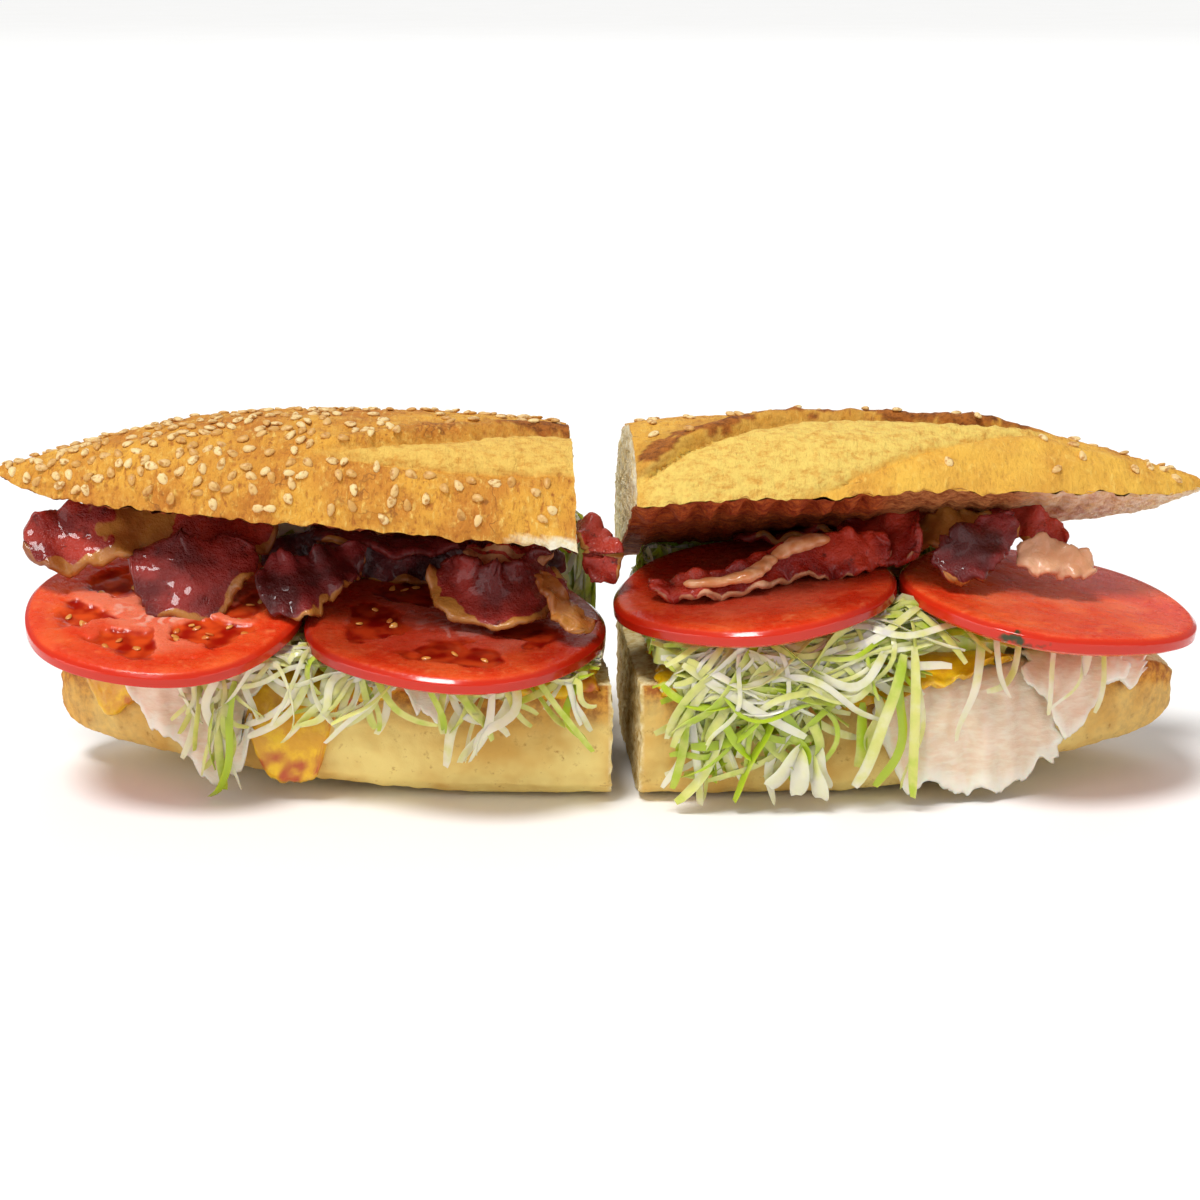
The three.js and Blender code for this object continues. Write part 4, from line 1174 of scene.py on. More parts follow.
# %% Stem scar
# A brown tail and a green spot on the rim of the slice at the right end: place and half sizes in mm.
SCARS = [((105, -49.5, 44.6), (6.5, 2.2, 1.5), "74391a"), ((98.5, -48, 45.8), (4.2, 2.8, 1.7), "363f1c")]
FRAY = 3.2  # mm that a noise shifts the scars' edges by, at most
frayed = {"Vector": read["place"], "Scale": 1 / (2.5 * MM), "Detail": 3.0}
frayed = add(ripe, "ShaderNodeTexNoise", frayed).outputs["Color"]
frayed = add(ripe, "ShaderNodeVectorMath", {0: frayed, "Scale": FRAY * MM}, operation="SCALE").outputs[0]
near = add(ripe, "ShaderNodeVectorMath", {0: read["place"], 1: frayed}, operation="ADD").outputs[0]
for spot, half_sizes, colour in SCARS:
    half_sizes = np.array(half_sizes) * MM
    centred = {"Vector": near, "Scale": 1 / half_sizes}
    centred["Location"] = -(metres(spot) + FRAY / 2 * MM) / half_sizes
    scaled = add(ripe, "ShaderNodeMapping", centred).outputs["Vector"]
    away = add(ripe, "ShaderNodeVectorMath", {0: scaled}, operation="LENGTH").outputs["Value"]
    flesh = layered(ripe, flesh, (away, (1.1, 0.8), colour))

# %% Wet flesh, gel and skin
gloss = {"Value": read["cells"], "From Min": 0.35, "From Max": 0.65, "To Min": 0.2, "To Max": 0.42}
gloss = add(ripe, "ShaderNodeMapRange", gloss).outputs["Result"]
for mask, wet in (("gel", 0.12), ("rim", 0.14)):
    gloss = {"Value": read[mask], "To Min": gloss, "To Max": wet}
    gloss = add(ripe, "ShaderNodeMapRange", gloss).outputs["Result"]
rough = 0.55
for mask, smooth in (("rim", 0.02), ("gel", 0.08)):
    rough = {"Value": read[mask], "To Min": rough, "To Max": smooth}
    rough = add(ripe, "ShaderNodeMapRange", rough).outputs["Result"]
wet_skin = {"Value": read["rim"], "To Min": 0.03, "To Max": 0.4}
wet_skin = add(ripe, "ShaderNodeMapRange", wet_skin).outputs["Result"]
finished(
    ripe, tomatoes, flesh, [(read["cells"], rough, 0.7)], Roughness=gloss, Subsurface_Weight=0.3,
    Subsurface_Radius=(0.004, 0.001, 0.0005), Subsurface_Scale=0.6, Coat_Weight=wet_skin,
    Coat_Roughness=0.06, Specular_IOR_Level=0.28,
)

# %% Seeds in the gel
teardrop = flat_seed("tomato_seed", 1.25, 0.8, 0.35)
places = []
for slice_ in (TOMATOES["tomato_left_1"], TOMATOES["tomato_left_2"]):
    (back, right), (ax, ay, _), radius = slice_["slope"], slice_["at"], slice_["radius"]
    while len(places) < 26 + 18 * (slice_["wet"] < 1):
        share, angle = rng.uniform(0.25, 0.75, 1), rng.uniform(0, TURN, 1)
        if chamber(slice_, share, angle)[0] < 0.7:
            continue
        x = ax + radius * share[0] * math.cos(angle[0])
        y = ay + radius * share[0] * math.sin(angle[0])
        z = tomato_top(slice_, x, y) - GEL_DEPTH * slice_["wet"] + 0.2
        out = (-right + rng.normal(0, 0.3), -back + rng.normal(0, 0.3), 1)
        places.append(standing((x, y, z), out, rng.uniform(0, 6.3), (1, 1, 1)))
pips = copies("tomato_seeds", teardrop, places, rng.uniform(0, 1, len(places)))
bpy.data.objects.remove(teardrop)
jellied, read = started("tomato_seed_in_gel", ["tone"])
tint = layered(jellied, "e8a850", (read["tone"], None, "d8702c"))
finished(jellied, [pips], tint, [], Roughness=0.2, Coat_Weight=0.5, Coat_Roughness=0.05)
print("tomato seeds", len(places))

# %% [markdown]
# ## Bacon
# A fried rasher is a strip of lean and fat that shrinks unevenly, so it ruffles and its edges curl. Each is
# a shell along a path through the points where the real one lies. It leans, so that its edge shows, and
# ripples run along it that grow towards the edges. Which part is lean or fat is painted by the place across.

# %% Numbers of the rashers
# width and lean are read along the path. look: share of fat at the front edge, half width and place of the
# fat streak, and how dark the piece is, which for the rashers deep under the left lid is painted shade.
# patch: place and half length of fat all across. cup: mm the rims lift. ruffle: mm of the waves, and waves:
# how many there are.
RASHERS = {
    "bacon_left_1": dict(
        path=[(-143, -13, 61), (-130, -12, 62), (-114, -8, 62.5), (-94, -4, 62), (-82, 0, 62)],
        width=[16, 19, 17], lean=[55, 50, 35], seed=1, look=(0.16, 0, 0.6, 0.3), patch=(0.43, 0.13),
    ),
    "bacon_left_2": dict(
        path=[(-86, -10, 57), (-93, -15, 56), (-101, -19.5, 53.6), (-108, -18, 55), (-116, -14, 58)],
        width=[9, 17, 24, 20, 8], lean=[40, 52, 45], ruffle=0.5, waves=1.2, seed=2, look=(0.03, 0, 0.6, 0.7),
    ),
    "bacon_left_3": dict(
        path=[(-60, -6, 58), (-66, -14, 54.5), (-74, -20, 52), (-84, -24, 50.5)],
        width=[5, 14, 19, 16], lean=[30, 40, 35], ruffle=0.9, seed=0.6, look=(0.01, 0, 0.55, 0.9),
    ),
    "bacon_left_4": dict(
        path=[(-40, -15, 54.5), (-34, -22, 51), (-25, -26.5, 49), (-17, -22, 51), (-13, -14, 54.5)],
        width=[13, 15, 17, 15], lean=[48, 56, 48], ruffle=0.4, waves=1.5, cup=2.6, seed=4,
        look=(0.14, 0, 0.66, 0.6),
    ),
    # painted shade: an extra rasher in the darkest tone fills the shadowed gap under the left lid
    "bacon_left_deep": dict(
        path=[(-86, 0, 53.5), (-70, 1, 53), (-54, 2, 52), (-38, 2, 51.5), (-22, 1, 51.5), (-9, 0, 52)],
        width=[13, 13], lean=[78, 82, 78], ruffle=1.2, waves=4.5, seed=14, look=(0.02, 0, 0.6, 1),
    ),
    # painted shade: its near-black tone, 0.9, stands for the shadow under the left lid
    "bacon_left_5": dict(
        path=[(-74, 4, 60), (-56, 4, 58.5), (-38, 4, 57.5), (-22, 4, 56.5), (-12, 3, 56.5)],
        width=[18, 18], lean=[10, 14, 10], ruffle=0.7, seed=5, look=(0.02, 0, 0.6, 0.9),
    ),
    "bacon_left_6": dict(
        path=[(-15, -24, 55), (-11, -29, 51.5), (-7, -33, 47), (-4, -36, 43)],
        width=[4, 7, 10, 9], lean=[10, 0, -10], ruffle=0.7, waves=1.4, seed=6, look=(0.95, 0, 0.5, 0.5),
    ),
    "bacon_left_fatty": dict(
        path=[(-33, -12, 58), (-27, -16, 57), (-20, -17, 56.5), (-12, -14, 57.5)],
        width=[6, 9, 8, 5], lean=[35, 50, 50], ruffle=1.0, waves=2, seed=15, look=(0.5, 0.15, 0.7, 0.1),
    ),
    "bacon_left_7": dict(
        path=[(-13, -6, 58), (-7, -10, 62), (-2.5, -13, 63), (0.5, -16, 60), (0.6, -19, 55.5), (-1, -23, 52)],
        width=[8, 10, 10, 9, 6], lean=[20, 25, 20, 10], ruffle=1.1, waves=3.2, seed=7,
        look=(0.05, 0, 0.55, 0.25),
    ),
    "bacon_right_1": dict(
        path=[
            (12, -23, 51.5), (22, -26, 52.5), (32, -25, 53.6), (43, -20, 56), (54, -16, 57.5),
            (64, -15, 58.5), (72, -14, 59),
        ],
        width=[6, 9, 10, 12, 13], lean=[35, 45, 50, 55], ruffle=0.9, waves=5, seed=8,
        look=(0.04, 0, 0.62, 0.0),
    ),
    "bacon_right_2": dict(
        path=[(62, 0, 61.5), (69, -7, 61), (75, -13, 60), (79, -18, 59)],
        width=[12, 14, 15, 12], lean=[20, 45, 62], ruffle=0.4, waves=1, cup=1.6, seed=9,
        look=(0.02, 0, 0.45, 0.15),
    ),
    "bacon_right_3": dict(
        path=[(83, -25, 56.5), (89, -22, 59), (96, -17, 62.5), (103, -12, 66.5)],
        width=[12, 14, 12, 9], lean=[50, 52, 45], ruffle=0.6, waves=1.5, seed=10, look=(0, 0, 0.6, 0.9),
    ),
    "bacon_right_4": dict(
        path=[(92, -3, 64.5), (101, -6, 65.5), (109, -9, 63.5), (116, -12, 59.5)],
        width=[12, 13, 10, 7], lean=[35, 50, 60], ruffle=0.8, waves=2.4, seed=11, look=(0.1, 0, 0.75, 0.3),
    ),
    "bacon_right_5": dict(
        path=[(103, -17, 58), (110, -18, 58), (117, -18, 56.5), (122, -17, 54.5)],
        width=[8, 11, 10, 6], lean=[50, 50, 40], ruffle=0.6, waves=1.5, seed=12, look=(1.2, 0, 0.5, 0.0),
    ),
    "bacon_right_6": dict(
        path=[(34, 9, 56), (50, 10, 57.5), (68, 11, 58), (86, 11, 57)],
        width=[16, 16], lean=[-6, -6, -6], ruffle=0.7, waves=3, seed=13, look=(0.05, 0, 0.6, 0.6),
    ),
    "bacon_right_amber": dict(
        path=[(78, -6, 62), (84, -9, 62.5), (91, -10, 63.5), (98, -9, 64.5)],
        width=[8, 12, 12, 8], lean=[40, 45, 45], ruffle=0.6, waves=1.6, seed=16, look=(1.2, 0, 0.5, 0.6),
    ),
}


def along_path(points, u):
    """Points on a smooth curve through the given ones (Catmull-Rom)."""
    p = np.array(points, float)
    p = np.vstack([2 * p[0] - p[1], p, 2 * p[-1] - p[-2]])
    place = np.clip(u, 0, 1) * (len(points) - 1)
    i = np.minimum(place.astype(int), len(points) - 2)
    t = (place - i)[:, None]
    a, b, c, d = (p[i + k] for k in range(4))
    return 0.5 * (2 * b + (c - a) * t + (2 * a - 5 * b + 4 * c - d) * t**2 + (3 * b - a - 3 * c + d) * t**3)


def rasher_surface(path, width, lean, seed, ruffle=1.2, waves=3, cup=0, **_):
    read = lambda values, u: eased_along(list(zip(np.linspace(0, 1, len(values)), values)), u)

    def surface(u, v):
        middle = along_path(path, u)
        tangent = along_path(path, np.clip(u + 0.01, 0, 1)) - along_path(path, np.clip(u - 0.01, 0, 1))
        tangent /= np.linalg.norm(tangent, axis=1, keepdims=True)
        level = np.cross((0, 0, 1), tangent)
        level *= np.where(level[:, 1] < 0, -1, 1)[:, None] / np.linalg.norm(level, axis=1, keepdims=True)
        upward = np.cross(tangent, level)
        upward *= np.where(upward[:, 2] < 0, -1, 1)[:, None]
        angle = np.radians(read(lean, u))[:, None]
        across = level * np.cos(angle) + upward * np.sin(angle)
        out = -level * np.sin(angle) + upward * np.cos(angle)
        end = np.clip(1 - np.abs(2 * u - 1) ** 7, 0.02, 1) ** 0.5
        edge = np.abs(2 * v - 1)
        frill = 1 + 0.10 * np.sin(9 * u + seed) + 0.16 * edge * tear(50 * u + 90 * (v > 0.5), 5, seed)
        wave = ruffle * np.sin(2 * math.pi * waves * u + seed + 1.2 * (v - 0.5)) * (0.7 + 0.9 * edge**2)
        wave += 1.1 * edge**2 * np.sin(2 * math.pi * waves * 2.3 * u + 2 * seed + 3 * v) + cup * edge**2
        return middle + across * ((v - 0.5) * read(width, u) * end * frill)[:, None] + out * wave[:, None]

    return surface


# %% Shape the rashers
def rasher_thickness(width, length):
    def rule(u, v):
        edge = np.minimum(np.minimum(u, 1 - u) * length, np.minimum(v, 1 - v) * width)
        return 1.8 * (1 + 0.18 * np.sin(7 * v + 5 * u)) * np.sqrt(1 - (1 - np.clip(edge / 1.4, 0, 1)) ** 2)

    return rule


# %% What of a rasher is fat
def rasher_masks(look, seed, patch=(0, 0.001), **_):
    """Where a rasher is fat, where its edge is charred, and how dark it is all over."""
    (rim, half_streak, streak_at, shade), (patch_at, patch_half) = look, patch

    def fat(u, v, p):
        drift = 0.07 * np.sin(7 * u + seed) + 0.12 * grain(p, 6, 3, seed)
        rind = 1 - smoothstep(rim - 0.05, rim + 0.05, v + drift)
        uneven = 0.95 + 0.45 * np.sin(5 * u + 2 * seed)
        streak = (half_streak > 0) * bump((v + drift - streak_at) / (half_streak + 0.01)) * uneven
        patched = bump((u + drift - patch_at) / patch_half) * 1.4
        return np.maximum(np.maximum(rind, streak), patched)

    def charred(u, v, p):
        return 1 - smoothstep(0.0, 0.06, np.minimum(np.minimum(v, 1 - v), np.minimum(u, 1 - u) * 2))

    return dict(fat=fat, charred=charred, shade=lambda u, v, p: shade + 0 * u)


# %% Make the rashers
rashers = []
shrinkage = clouds("fried_wrinkles", 3.4, 2)
for name, rasher in RASHERS.items():
    length = np.linalg.norm(np.diff(np.array(rasher["path"], float), axis=0), axis=1).sum()
    thickness = rasher_thickness(max(rasher["width"]), length)
    surface, masks = rasher_surface(**rasher), rasher_masks(**rasher)
    piece = shell(name + "_fried", int(length / 0.45), 34, surface, thickness, **masks)
    roughen(piece, shrinkage, 0.8)
    if name in frame["nodes"]:
        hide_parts(name)
    rashers.append(piece)
print("bacon faces", sum(len(piece.data.polygons) for piece in rashers))

# %% Bacon material
fried, read = started(
    "fried_streaky_bacon", ["fat", "charred", "shade"],
    knots=(3, 5, 0.65), broad=(12, 2, 0.5), fine=(0.8, 3, 0.7),
)
dark = layered(fried, "420d0e", (read["broad"], (0.4, 0.64), "84282a"))
lean = layered(
    fried, "941a0e", (read["broad"], (0.38, 0.62), "c83a22"), (read["shade"], None, dark),
    (read["knots"], (0.44, 0.24), "420c08"),
)
amber = layered(fried, "9a5622", (read["broad"], (0.36, 0.64), "c08038"))
rind = layered(
    fried, "c88a60", (read["broad"], (0.36, 0.64), "e4b08a"), (read["shade"], (0.0, 0.2), amber)
)
meat = layered(fried, lean, (read["fat"], (0.3, 0.7), rind), (read["charred"], (0.5, 1.6), "6a2010"))
gloss = {"Value": read["knots"], "From Min": 0.35, "From Max": 0.65, "To Min": 0.12, "To Max": 0.3}
gloss = add(fried, "ShaderNodeMapRange", gloss).outputs["Result"]
granular = {"Value": read["fat"], "To Min": 1.0, "To Max": 0.35}
granular = add(fried, "ShaderNodeMapRange", granular).outputs["Result"]
finished(
    fried, rashers, meat, [(read["knots"], 0.6, 0.9), (read["fine"], granular, 0.6)], Roughness=gloss,
    Subsurface_Weight=0.2, Subsurface_Radius=(0.003, 0.001, 0.0006), Subsurface_Scale=0.5,
    Coat_Weight=0.32, Coat_Roughness=0.05, Specular_IOR_Level=0.35,
)

# %% [markdown]
# ## Shredded lettuce
# Iceberg lettuce is shredded into crisp ribbons, 1.5 to 3 mm wide and up to 60 mm long, white at the rib
# and lime at the leaf's edge. In the sandwich they form a springy heap from the turkey to the tomatoes and
# hang out over the front. Hair would render well but wouldn't last in the model, so each shred is a real
# closed ribbon along a bent path on the heap's outer face, joined into one mesh for each half over a core.


# %% The heap's core
BEHIND = 59  # mm up to the heap behind the tomatoes


def heap_top(half, slices, x, y):
    """The height of the heap: under the tomatoes in front, and up to the lid behind them."""
    t = np.clip((x - half["lid_cut"]) / (half["lid_tip"] - half["lid_cut"]), 0, 1)
    under_lid = lid_middle(half, t) - y * math.tan(half["tilt"]) - 2.4
    crest = mix(half["crest"], BEHIND, smoothstep(6, 16, y))
    room = np.minimum(crest + wobble(3 * x, 3 * y, 2), under_lid)
    for slice_ in slices:
        near = np.hypot(x - slice_["at"][0], y - slice_["at"][1]) < slice_["radius"] + 3
        room = np.where(near, np.minimum(room, tomato_top(slice_, x, y) - SLICE_THICK - 1.2), room)
    return room


def core_form(half, x0, x1, slices):
    def form(u, v):
        folded = folded_rows(v)
        x = mix(x0, x1, u)
        _, _, edge, _ = shoulder(half, x)
        y = mix(edge + 1, -edge - 1.5, folded) + 0.8 * wobble(4 * x, 60 * folded, 4)
        low = BASE_HEIGHT + 5.2 + np.where(x > 98, 2.2, 0)
        from_edge = np.minimum(np.minimum(u, 1 - u) * 40, np.minimum(folded, 1 - folded) * 25)
        high = mix(low, heap_top(half, slices, x, y), np.clip(from_edge, 0, 1) ** 0.5)
        z = np.where(v < 0.5, low, np.maximum(high, low))
        return np.stack([skewed(half, "base", x, y), y, z], -1)

    return form


# %% A closed ribbon for each shred
def ribbons(name, paths, outs, widths, tones, rolls):
    """paths and outs are arrays of shape (shred, step, 3). Each ribbon has a thin flat section."""
    count, steps, _ = paths.shape
    along = np.gradient(paths, axis=1)
    along /= np.linalg.norm(along, axis=2, keepdims=True) + 1e-9
    across = np.cross(along, outs)
    across /= np.linalg.norm(across, axis=2, keepdims=True) + 1e-9
    out = np.cross(across, along)
    turn = rolls[:, :, None]
    across, out = across * np.cos(turn) + out * np.sin(turn), out * np.cos(turn) - across * np.sin(turn)
    taper = (1 - 0.35 * np.abs(np.linspace(-1, 1, steps)) ** 8)[None, :, None]
    wide = across * (widths[:, None, None] / 2 * taper)
    thick = out * ((0.15 + 0.05 * np.minimum(widths, 3))[:, None, None] * taper)
    cup = 0.12 * widths[:, None, None] * out
    rings = np.stack([paths - wide + cup, paths + thick, paths + wide + cup, paths - thick], 2)
    ring = lambda k, i: [(k * steps + i) * 4 + j for j in range(4)]
    faces = []
    for k in range(count):
        for i in range(steps - 1):
            a, b = ring(k, i), ring(k, i + 1)
            faces += [(a[j], a[(j + 1) % 4], b[(j + 1) % 4], b[j]) for j in range(4)]
        faces += [tuple(ring(k, 0)[::-1]), tuple(ring(k, steps - 1))]
    obj = meshed(name, metres(rings.reshape(-1, 3)), faces)
    along_tone = rng.normal(0, 0.16, (count, 1)) * np.linspace(-1, 1, steps)[None, :]
    paint(obj, "tone", np.repeat((tones[:, None] + along_tone).ravel(), 4))
    bpy.ops.object.shade_smooth_by_angle(angle=math.radians(75))
    return obj


# %% Paths over the heap's face
# The way down the face in mm, against mm out from the base's half width, and height.
FACE = dict(
    way=[0, 8, 14, 20, 26, 34, 44, 54, 62],
    out=[-16, -7, -1, 3.5, 5.2, 5.4, 4.2, 3.2, 2.2],
    z=[46, 45, 41, 36, 30, 22.5, 12.5, 3.5, 1.0],
)
STEPS = 15  # of one shred's path


def on_face(half, slices, side, x, way, lift):
    """Points on the face of the heap, side -1 at the front and 1 at the back, and the way they face."""
    ends = sorted((half["base_cut"], half["base_tip"]))
    width = base_half_width(half, np.clip(x, ends[0] + 2, ends[1] - 2))
    out_at = lambda s: np.interp(s, FACE["way"], FACE["out"])
    z_at = lambda s: np.interp(s, FACE["way"], FACE["z"])
    slope_out, slope_z = out_at(way + 3) - out_at(way - 3), z_at(way + 3) - z_at(way - 3)
    length = np.hypot(slope_out, slope_z) + 1e-6
    normal_out, normal_z = -slope_z / length, slope_out / length
    y = side * (width + out_at(way) + lift * normal_out)
    z = np.minimum(z_at(way), half["crest"]) + lift * normal_z
    for slice_ in slices:
        near = np.hypot(x - slice_["at"][0], y - slice_["at"][1]) < slice_["radius"] + 1.5
        z = np.where(near, np.minimum(z, tomato_top(slice_, x, y) - SLICE_THICK - 0.9), z)
    points = np.stack([skewed(half, "base", x, y), y, np.maximum(z, 0.7)], -1)
    return points, np.stack([0 * x, side * normal_out, normal_z], -1)


def bent(tuft, s):
    """One random path of a tuft: its steps along x and down, in mm. It heads down at 0 and along at 1.57."""
    length = rng.uniform(*tuft["length"])
    side = rng.choice([-1, 1]) if tuft.get("both", True) else 1
    heading = side * rng.normal(tuft.get("heading", 0), tuft.get("fan", 0.4))
    angle = heading + rng.normal(0, tuft.get("bend", 0.5)) * s
    angle = angle + rng.normal(0, 0.3) * np.sin(TURN * s + rng.uniform(0, 6))
    dx, dw = np.sin(angle) * length / STEPS, np.cos(angle) * length / STEPS
    return np.cumsum(dx) - dx.sum() / 2 * (abs(heading) > 0.9), np.cumsum(dw) - dw[0]


def within(path, low, high):
    """Slides a path back between two limits, and pulls in what is still outside."""
    path = path + max(low - path.min(), 0) - max(path.max() - high, 0)
    return np.maximum(path, low)


def shreds_over(half, slices, side, tufts, x_range):
    """Paths, facings, widths, tones and rolls of the shreds of some tufts."""
    rows = []
    s = np.linspace(0, 1, STEPS)
    for tuft in tufts:
        for _ in range(tuft["count"]):
            dx, dw = bent(tuft, s)
            at = rng.uniform(*tuft["x"])
            x = within(at + dx, x_range[0] + rng.uniform(-1, 9), x_range[1] - rng.uniform(0, 5))
            lowest = eased_along(tuft["hem"], x.mean()) if "hem" in tuft else tuft["lowest"]
            way = within(rng.uniform(*tuft["way"]) + dw, -60, lowest - rng.uniform(0, 7))
            lift = rng.uniform(*tuft.get("lift", (0, 3.0))) + rng.uniform(0, 2.2) * np.sin(math.pi * s)
            points, out = on_face(half, slices, side, x, way, lift)
            width, tone = rng.uniform(*tuft.get("width", (1.6, 3.0))), rng.beta(*tuft.get("tone", (1.1, 1.6)))
            roll = rng.normal(0, 0.45) + rng.normal(0, 0.5) * (2 * s - 1)
            rows.append((points, out, width, tone, roll))
    return [np.array(part) for part in zip(*rows)]


def shreds_on_core(form, x_span, count):
    """Shreds that lie on the core itself: up its back, over its top and across its two ends."""
    rows = []
    s = np.linspace(-0.5, 0.5, STEPS)
    for k in range(count):
        length, angle = rng.uniform(12, 36), rng.normal(0, 0.3) + rng.normal(0, 0.7) * s
        bow = rng.uniform(-2.5, 2.5) * np.cos(math.pi * s)
        along, aside = length * s * np.cos(angle), length * s * np.sin(angle) + bow
        if k % 5:
            u = within(rng.uniform(0, 1) + along / x_span, 0.012, 0.988)
            climb = within(rng.uniform(0, 50) + aside, 0, 55)  # mm up the back, then forwards
            folded = np.where(climb < 16, 0.04 * (climb / 16) ** 2, np.interp(climb, [16, 55], [0.04, 0.6]))
        else:
            depth = within(rng.uniform(0, 9) + aside, 0.5, 14)  # mm up the end, then inwards
            u = np.interp(depth, [0, 9, 14], [0.001, 0.02, 0.06])
            u = u if k % 2 else 1 - u
            folded = within(rng.uniform(0.02, 0.98) + along / 70, 0.02, 0.98)
        points, out = form(u, 1 - folded / 2), facing(form, u, 1 - folded / 2)
        lift = rng.uniform(0.3, 1.8) + rng.uniform(0, 1.0) * np.cos(math.pi * s)
        width, tone = rng.uniform(1.3, 2.9), rng.beta(1.1, 1.8)
        roll = rng.normal(0, 0.35) + rng.normal(0, 0.5) * s
        rows.append((points + out * lift[:, None], out, width, tone, roll))
    return [np.array(part) for part in zip(*rows)]


# %% Tufts of each half
# x and way: where the shreds start. length, width and lift: in mm. heading, fan and bend: their way down or
# along, how much it varies and how much each shred curves. lowest, or hem along x: how far down they reach.
# tone: the beta distribution of their green, which gives white ribs for (1, 9) and green edges for (4, 2).
LETTUCE = {
    "left": (LEFT, (-120, -2), [
        dict(
            x=(-112, -6), way=(6, 17), count=80, length=(12, 26), lowest=26, heading=1.3, fan=0.4,
            width=(1.2, 2.2), tone=(1, 2.8),
        ),
        dict(
            x=(-106, -86), way=(16, 24), count=12, length=(12, 24), lowest=44, heading=0.9, fan=0.5, bend=0.9,
            width=(1.0, 2.0), tone=(1, 3),
        ),
        dict(
            x=(-99, -91), way=(20, 30), count=15, length=(16, 30), lowest=62, fan=0.16, bend=0.5,
            width=(1.0, 2.2), tone=(1, 2.4),
        ),
        dict(
            x=(-89, -88), way=(24, 26), count=1, length=(37, 38), lowest=62, heading=-0.12, fan=0.02,
            bend=0.2, tone=(30, 1), width=(1.8, 2), both=False, lift=(3, 3.5),
        ),
        dict(
            x=(-84, -46), way=(14, 24), count=42, length=(14, 34), lowest=40, heading=1.0, fan=0.5, bend=0.8,
            width=(1.1, 2.2), tone=(1, 2.6),
        ),
        dict(
            x=(-44, -20), way=(20, 26), count=11, length=(12, 24), lowest=42, heading=0.7, fan=0.4, bend=0.7,
            tone=(1, 2), width=(1.2, 2.2),
        ),
        dict(
            x=(-31, -15), way=(20, 24), count=5, length=(22, 30), lowest=52, heading=-0.3, fan=0.12,
            bend=0.15, tone=(1, 9), width=(2.0, 3.0), both=False,
        ),
        dict(
            x=(-14, -5), way=(16, 24), count=8, length=(14, 26), lowest=42, heading=0.4, fan=0.4, bend=0.6,
            tone=(1, 2), width=(1.2, 2.2),
        ),
        dict(
            x=(-84, -58), way=(16, 18), count=4, length=(14, 22), lowest=26, heading=1.5, fan=0.1,
            width=(5, 8), tone=(1, 5), lift=(0, 1),
        ),
    ]),
    "right": (RIGHT, (11, 128), [
        dict(
            x=(24, 94), way=(2, 18), count=180, length=(30, 60), hem=[(20, 38), (56, 30), (71, 22), (94, 17)],
            heading=1.45, fan=0.22, bend=0.5, lift=(0, 4), width=(1.0, 2.4), tone=(1.1, 2),
        ),
        dict(
            x=(18, 60), way=(10, 26), count=120, length=(26, 52), hem=[(18, 40), (50, 33), (66, 24)],
            heading=1.4, fan=0.24, bend=0.6, lift=(0, 4.5), width=(1.0, 2.4), tone=(1.1, 2),
        ),
        dict(
            x=(18, 60), way=(8, 24), count=60, length=(20, 40), hem=[(18, 42), (50, 36), (66, 26)],
            heading=0.9, fan=0.4, bend=0.9, lift=(1, 5), width=(1.0, 2.4),
        ),
        dict(
            x=(16, 52), way=(18, 32), count=30, length=(18, 34), lowest=60, heading=0.35, fan=0.35, bend=0.6,
            tone=(1.6, 1.1), width=(1.2, 2.8),
        ),
        dict(
            x=(18, 50), way=(22, 38), count=20, length=(16, 30), lowest=52, heading=1.0, fan=0.4, bend=0.8,
            tone=(1.6, 1.1), width=(1.2, 2.4),
        ),
        dict(
            x=(15, 19), way=(22, 28), count=4, length=(24, 34), lowest=60, fan=0.16, bend=0.5, tone=(1, 4),
            width=(1.4, 2.4),
        ),
        dict(
            x=(56, 66), way=(26, 30), count=2, length=(16, 22), lowest=48, fan=0.1, bend=0.2,
            width=(2.6, 3.6), tone=(3, 2),
        ),
        dict(
            x=(68, 76), way=(14, 22), count=4, length=(30, 42), lowest=58, heading=-0.2, fan=0.12, bend=0.3,
            tone=(4, 2), both=False, lift=(3, 5), width=(1.4, 2.8),
        ),
        dict(
            x=(92, 126), way=(10, 18), count=7, length=(16, 32), lowest=46, heading=0.2, fan=0.4, tone=(1, 5),
            lift=(2, 4), width=(1.2, 2.4),
        ),
        dict(
            x=(43, 50), way=(36, 42), count=4, length=(12, 15), lowest=60, heading=0.2, fan=0.25, bend=0.2,
            width=(3.6, 5), tone=(1, 20), lift=(2.0, 3.5),
        ),
    ]),
}
heaps = []
for name, (half, (x0, x1), tufts) in LETTUCE.items():
    slices = [TOMATOES[f"tomato_{name}_{k}"] for k in (1, 2)]
    form = core_form(half, x0, x1, slices)
    core = wrapped("core", 120, 120, form, tone=lambda u, v, p: 0.45 + 0.4 * grain(p, 5, 3, 9))
    weld(core)
    roughen(core, clouds("packed_shreds", 3, 3), 2.6, mid_level=0.6)
    front = ribbons("front", *shreds_over(half, slices, -1, tufts, (x0 - 1, x1)))
    laid = ribbons("laid", *shreds_on_core(form, x1 - x0, 430))
    take(core)
    for part in (front, laid):
        part.select_set(True)
    bpy.ops.object.join()
    set_on_table(core)
    core.name = core.data.name = f"lettuce_{name}_shredded"
    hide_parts("lettuce_" + name)
    heaps.append(core)
    print(core.name, len(core.data.polygons), "faces")

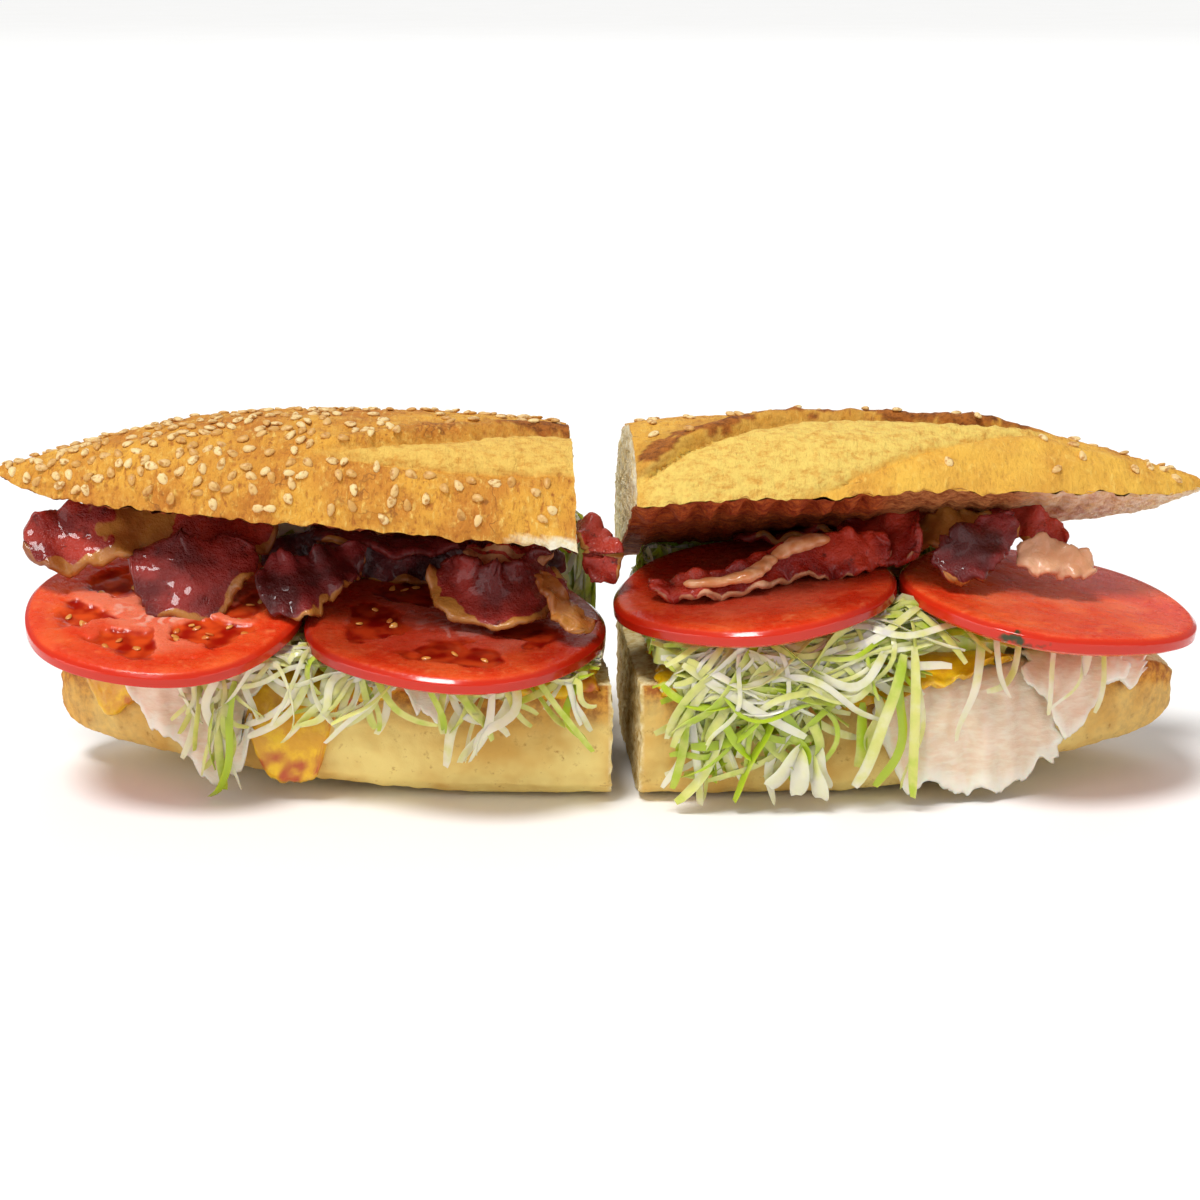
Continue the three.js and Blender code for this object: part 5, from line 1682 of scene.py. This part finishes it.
# %% Lettuce material
crisp_leaf, read = started("iceberg_lettuce_shreds", ["tone"], veins=(5, 3, 0.5))
tone = add(crisp_leaf, "ShaderNodeMath", {0: read["tone"], 1: read["veins"]}, operation="ADD").outputs[0]
leaf = layered(crisp_leaf, "f0efc8", (tone, (0.5, 0.95), "dde07c"), (tone, (0.9, 1.35), "aac622"))
finished(
    crisp_leaf, heaps, leaf, [(read["veins"], 0.3, 0.6)], Roughness=0.3, Subsurface_Weight=0.45,
    Subsurface_Radius=(0.003, 0.004, 0.001), Subsurface_Scale=0.6, Coat_Weight=0.25, Coat_Roughness=0.15,
)

# %% [markdown]
# ## Dressing
# A pinkish orange dressing has run over the bacon and the right tomato in soft lumps. Each lump is a ball
# squashed to its size. A voxel remesh melts those that touch into one smear, as thick sauces do.

# %% Smears of dressing
# Each lump is x, y and z, and its half sizes.
SMEARS = {
    "dressing_upper": [
        (53, -14.5, 61.4, 4.4, 3, 1.7), (50, -15.8, 60.8, 4.4, 3.4, 1.8), (47, -17.2, 59.8, 3.6, 2.8, 1.6),
        (44.5, -18.8, 58.6, 2.8, 2.4, 1.4),
    ],
    "dressing_lower": [
        (41.5, -21, 57.8, 2.4, 2, 1.4), (39.5, -23, 56.8, 2.8, 2.2, 1.5), (37.5, -24.8, 55.8, 3, 2.6, 1.5),
        (35, -26.2, 55, 3.4, 2.6, 1.4), (32, -27, 54.5, 3.4, 2.2, 1.3), (29, -27.4, 54.1, 3.4, 2, 1.3),
        (26, -27.6, 53.8, 3.4, 1.8, 1.2), (23, -27.6, 53.5, 3, 1.6, 1.1),
    ],
}
smears = []
lumps = clouds("sauce_lumps", 4, 2)
for name, balls in SMEARS.items():
    parts = []
    for x, y, z, *radii in balls:
        bpy.ops.object.select_all(action="DESELECT")
        bpy.ops.mesh.primitive_uv_sphere_add(
            segments=24, ring_count=16, radius=1, location=metres((x, y, z))
        )
        bpy.ops.transform.resize(value=[r * MM for r in radii])
        bpy.ops.object.transform_apply(location=True, rotation=True, scale=True)
        parts.append(bpy.context.active_object)
    take(parts[0])
    for part in parts:
        part.select_set(True)
    bpy.ops.object.join()
    smear = bpy.context.active_object
    smear.name = smear.data.name = name
    modify(smear, "REMESH", mode="VOXEL", voxel_size=0.45 * MM)
    roughen(smear, lumps, 1.6)
    modify(smear, "SMOOTH", factor=0.5, iterations=16)
    bpy.ops.object.shade_smooth()
    smears.append(smear)
    print(name, len(smear.data.polygons), "faces")

# %% Dressing material
sauce, read = started("creamy_tomato_dressing", oily=(3, 3, 0.5))
tint = layered(sauce, "d98a52", (read["oily"], (0.35, 0.7), "efb98a"))
finished(
    sauce, smears, tint, [], Roughness=0.22, Subsurface_Weight=0.3,
    Subsurface_Radius=(0.003, 0.0015, 0.0008), Subsurface_Scale=0.5, Coat_Weight=0.3, Coat_Roughness=0.08,
)

# %% [markdown]
# ## The floor
# A pale matt table top, with a faint mottle of about 11 cm so that it isn't a bare flat colour.

# %% Floor material
table, read = started("pale_table_top", mottle=(1000 / 9, 3, 0.5))
tint = layered(table, "fafaf9", (read["mottle"], None, "fefefe"))
finished(table, [floor], tint, [], Roughness=0.7, Specular_IOR_Level=0.0)

# %% [markdown]
# ## Finish
# Every new piece rides on the sandwich's one body, and the size of what shows is set against the solid.

# %% Ride, measure and finish
for obj in list(bpy.data.objects):
    if obj.type == "MESH" and obj is not floor and "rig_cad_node" not in obj and obj.parent is None:
        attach(obj, "root")
as_list = lambda box: [list(corner) for corner in box]
{"solid": as_list(solid_box), "shown": as_list(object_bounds())}
print("solid box", as_list(solid_box), "shown box", as_list(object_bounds()))
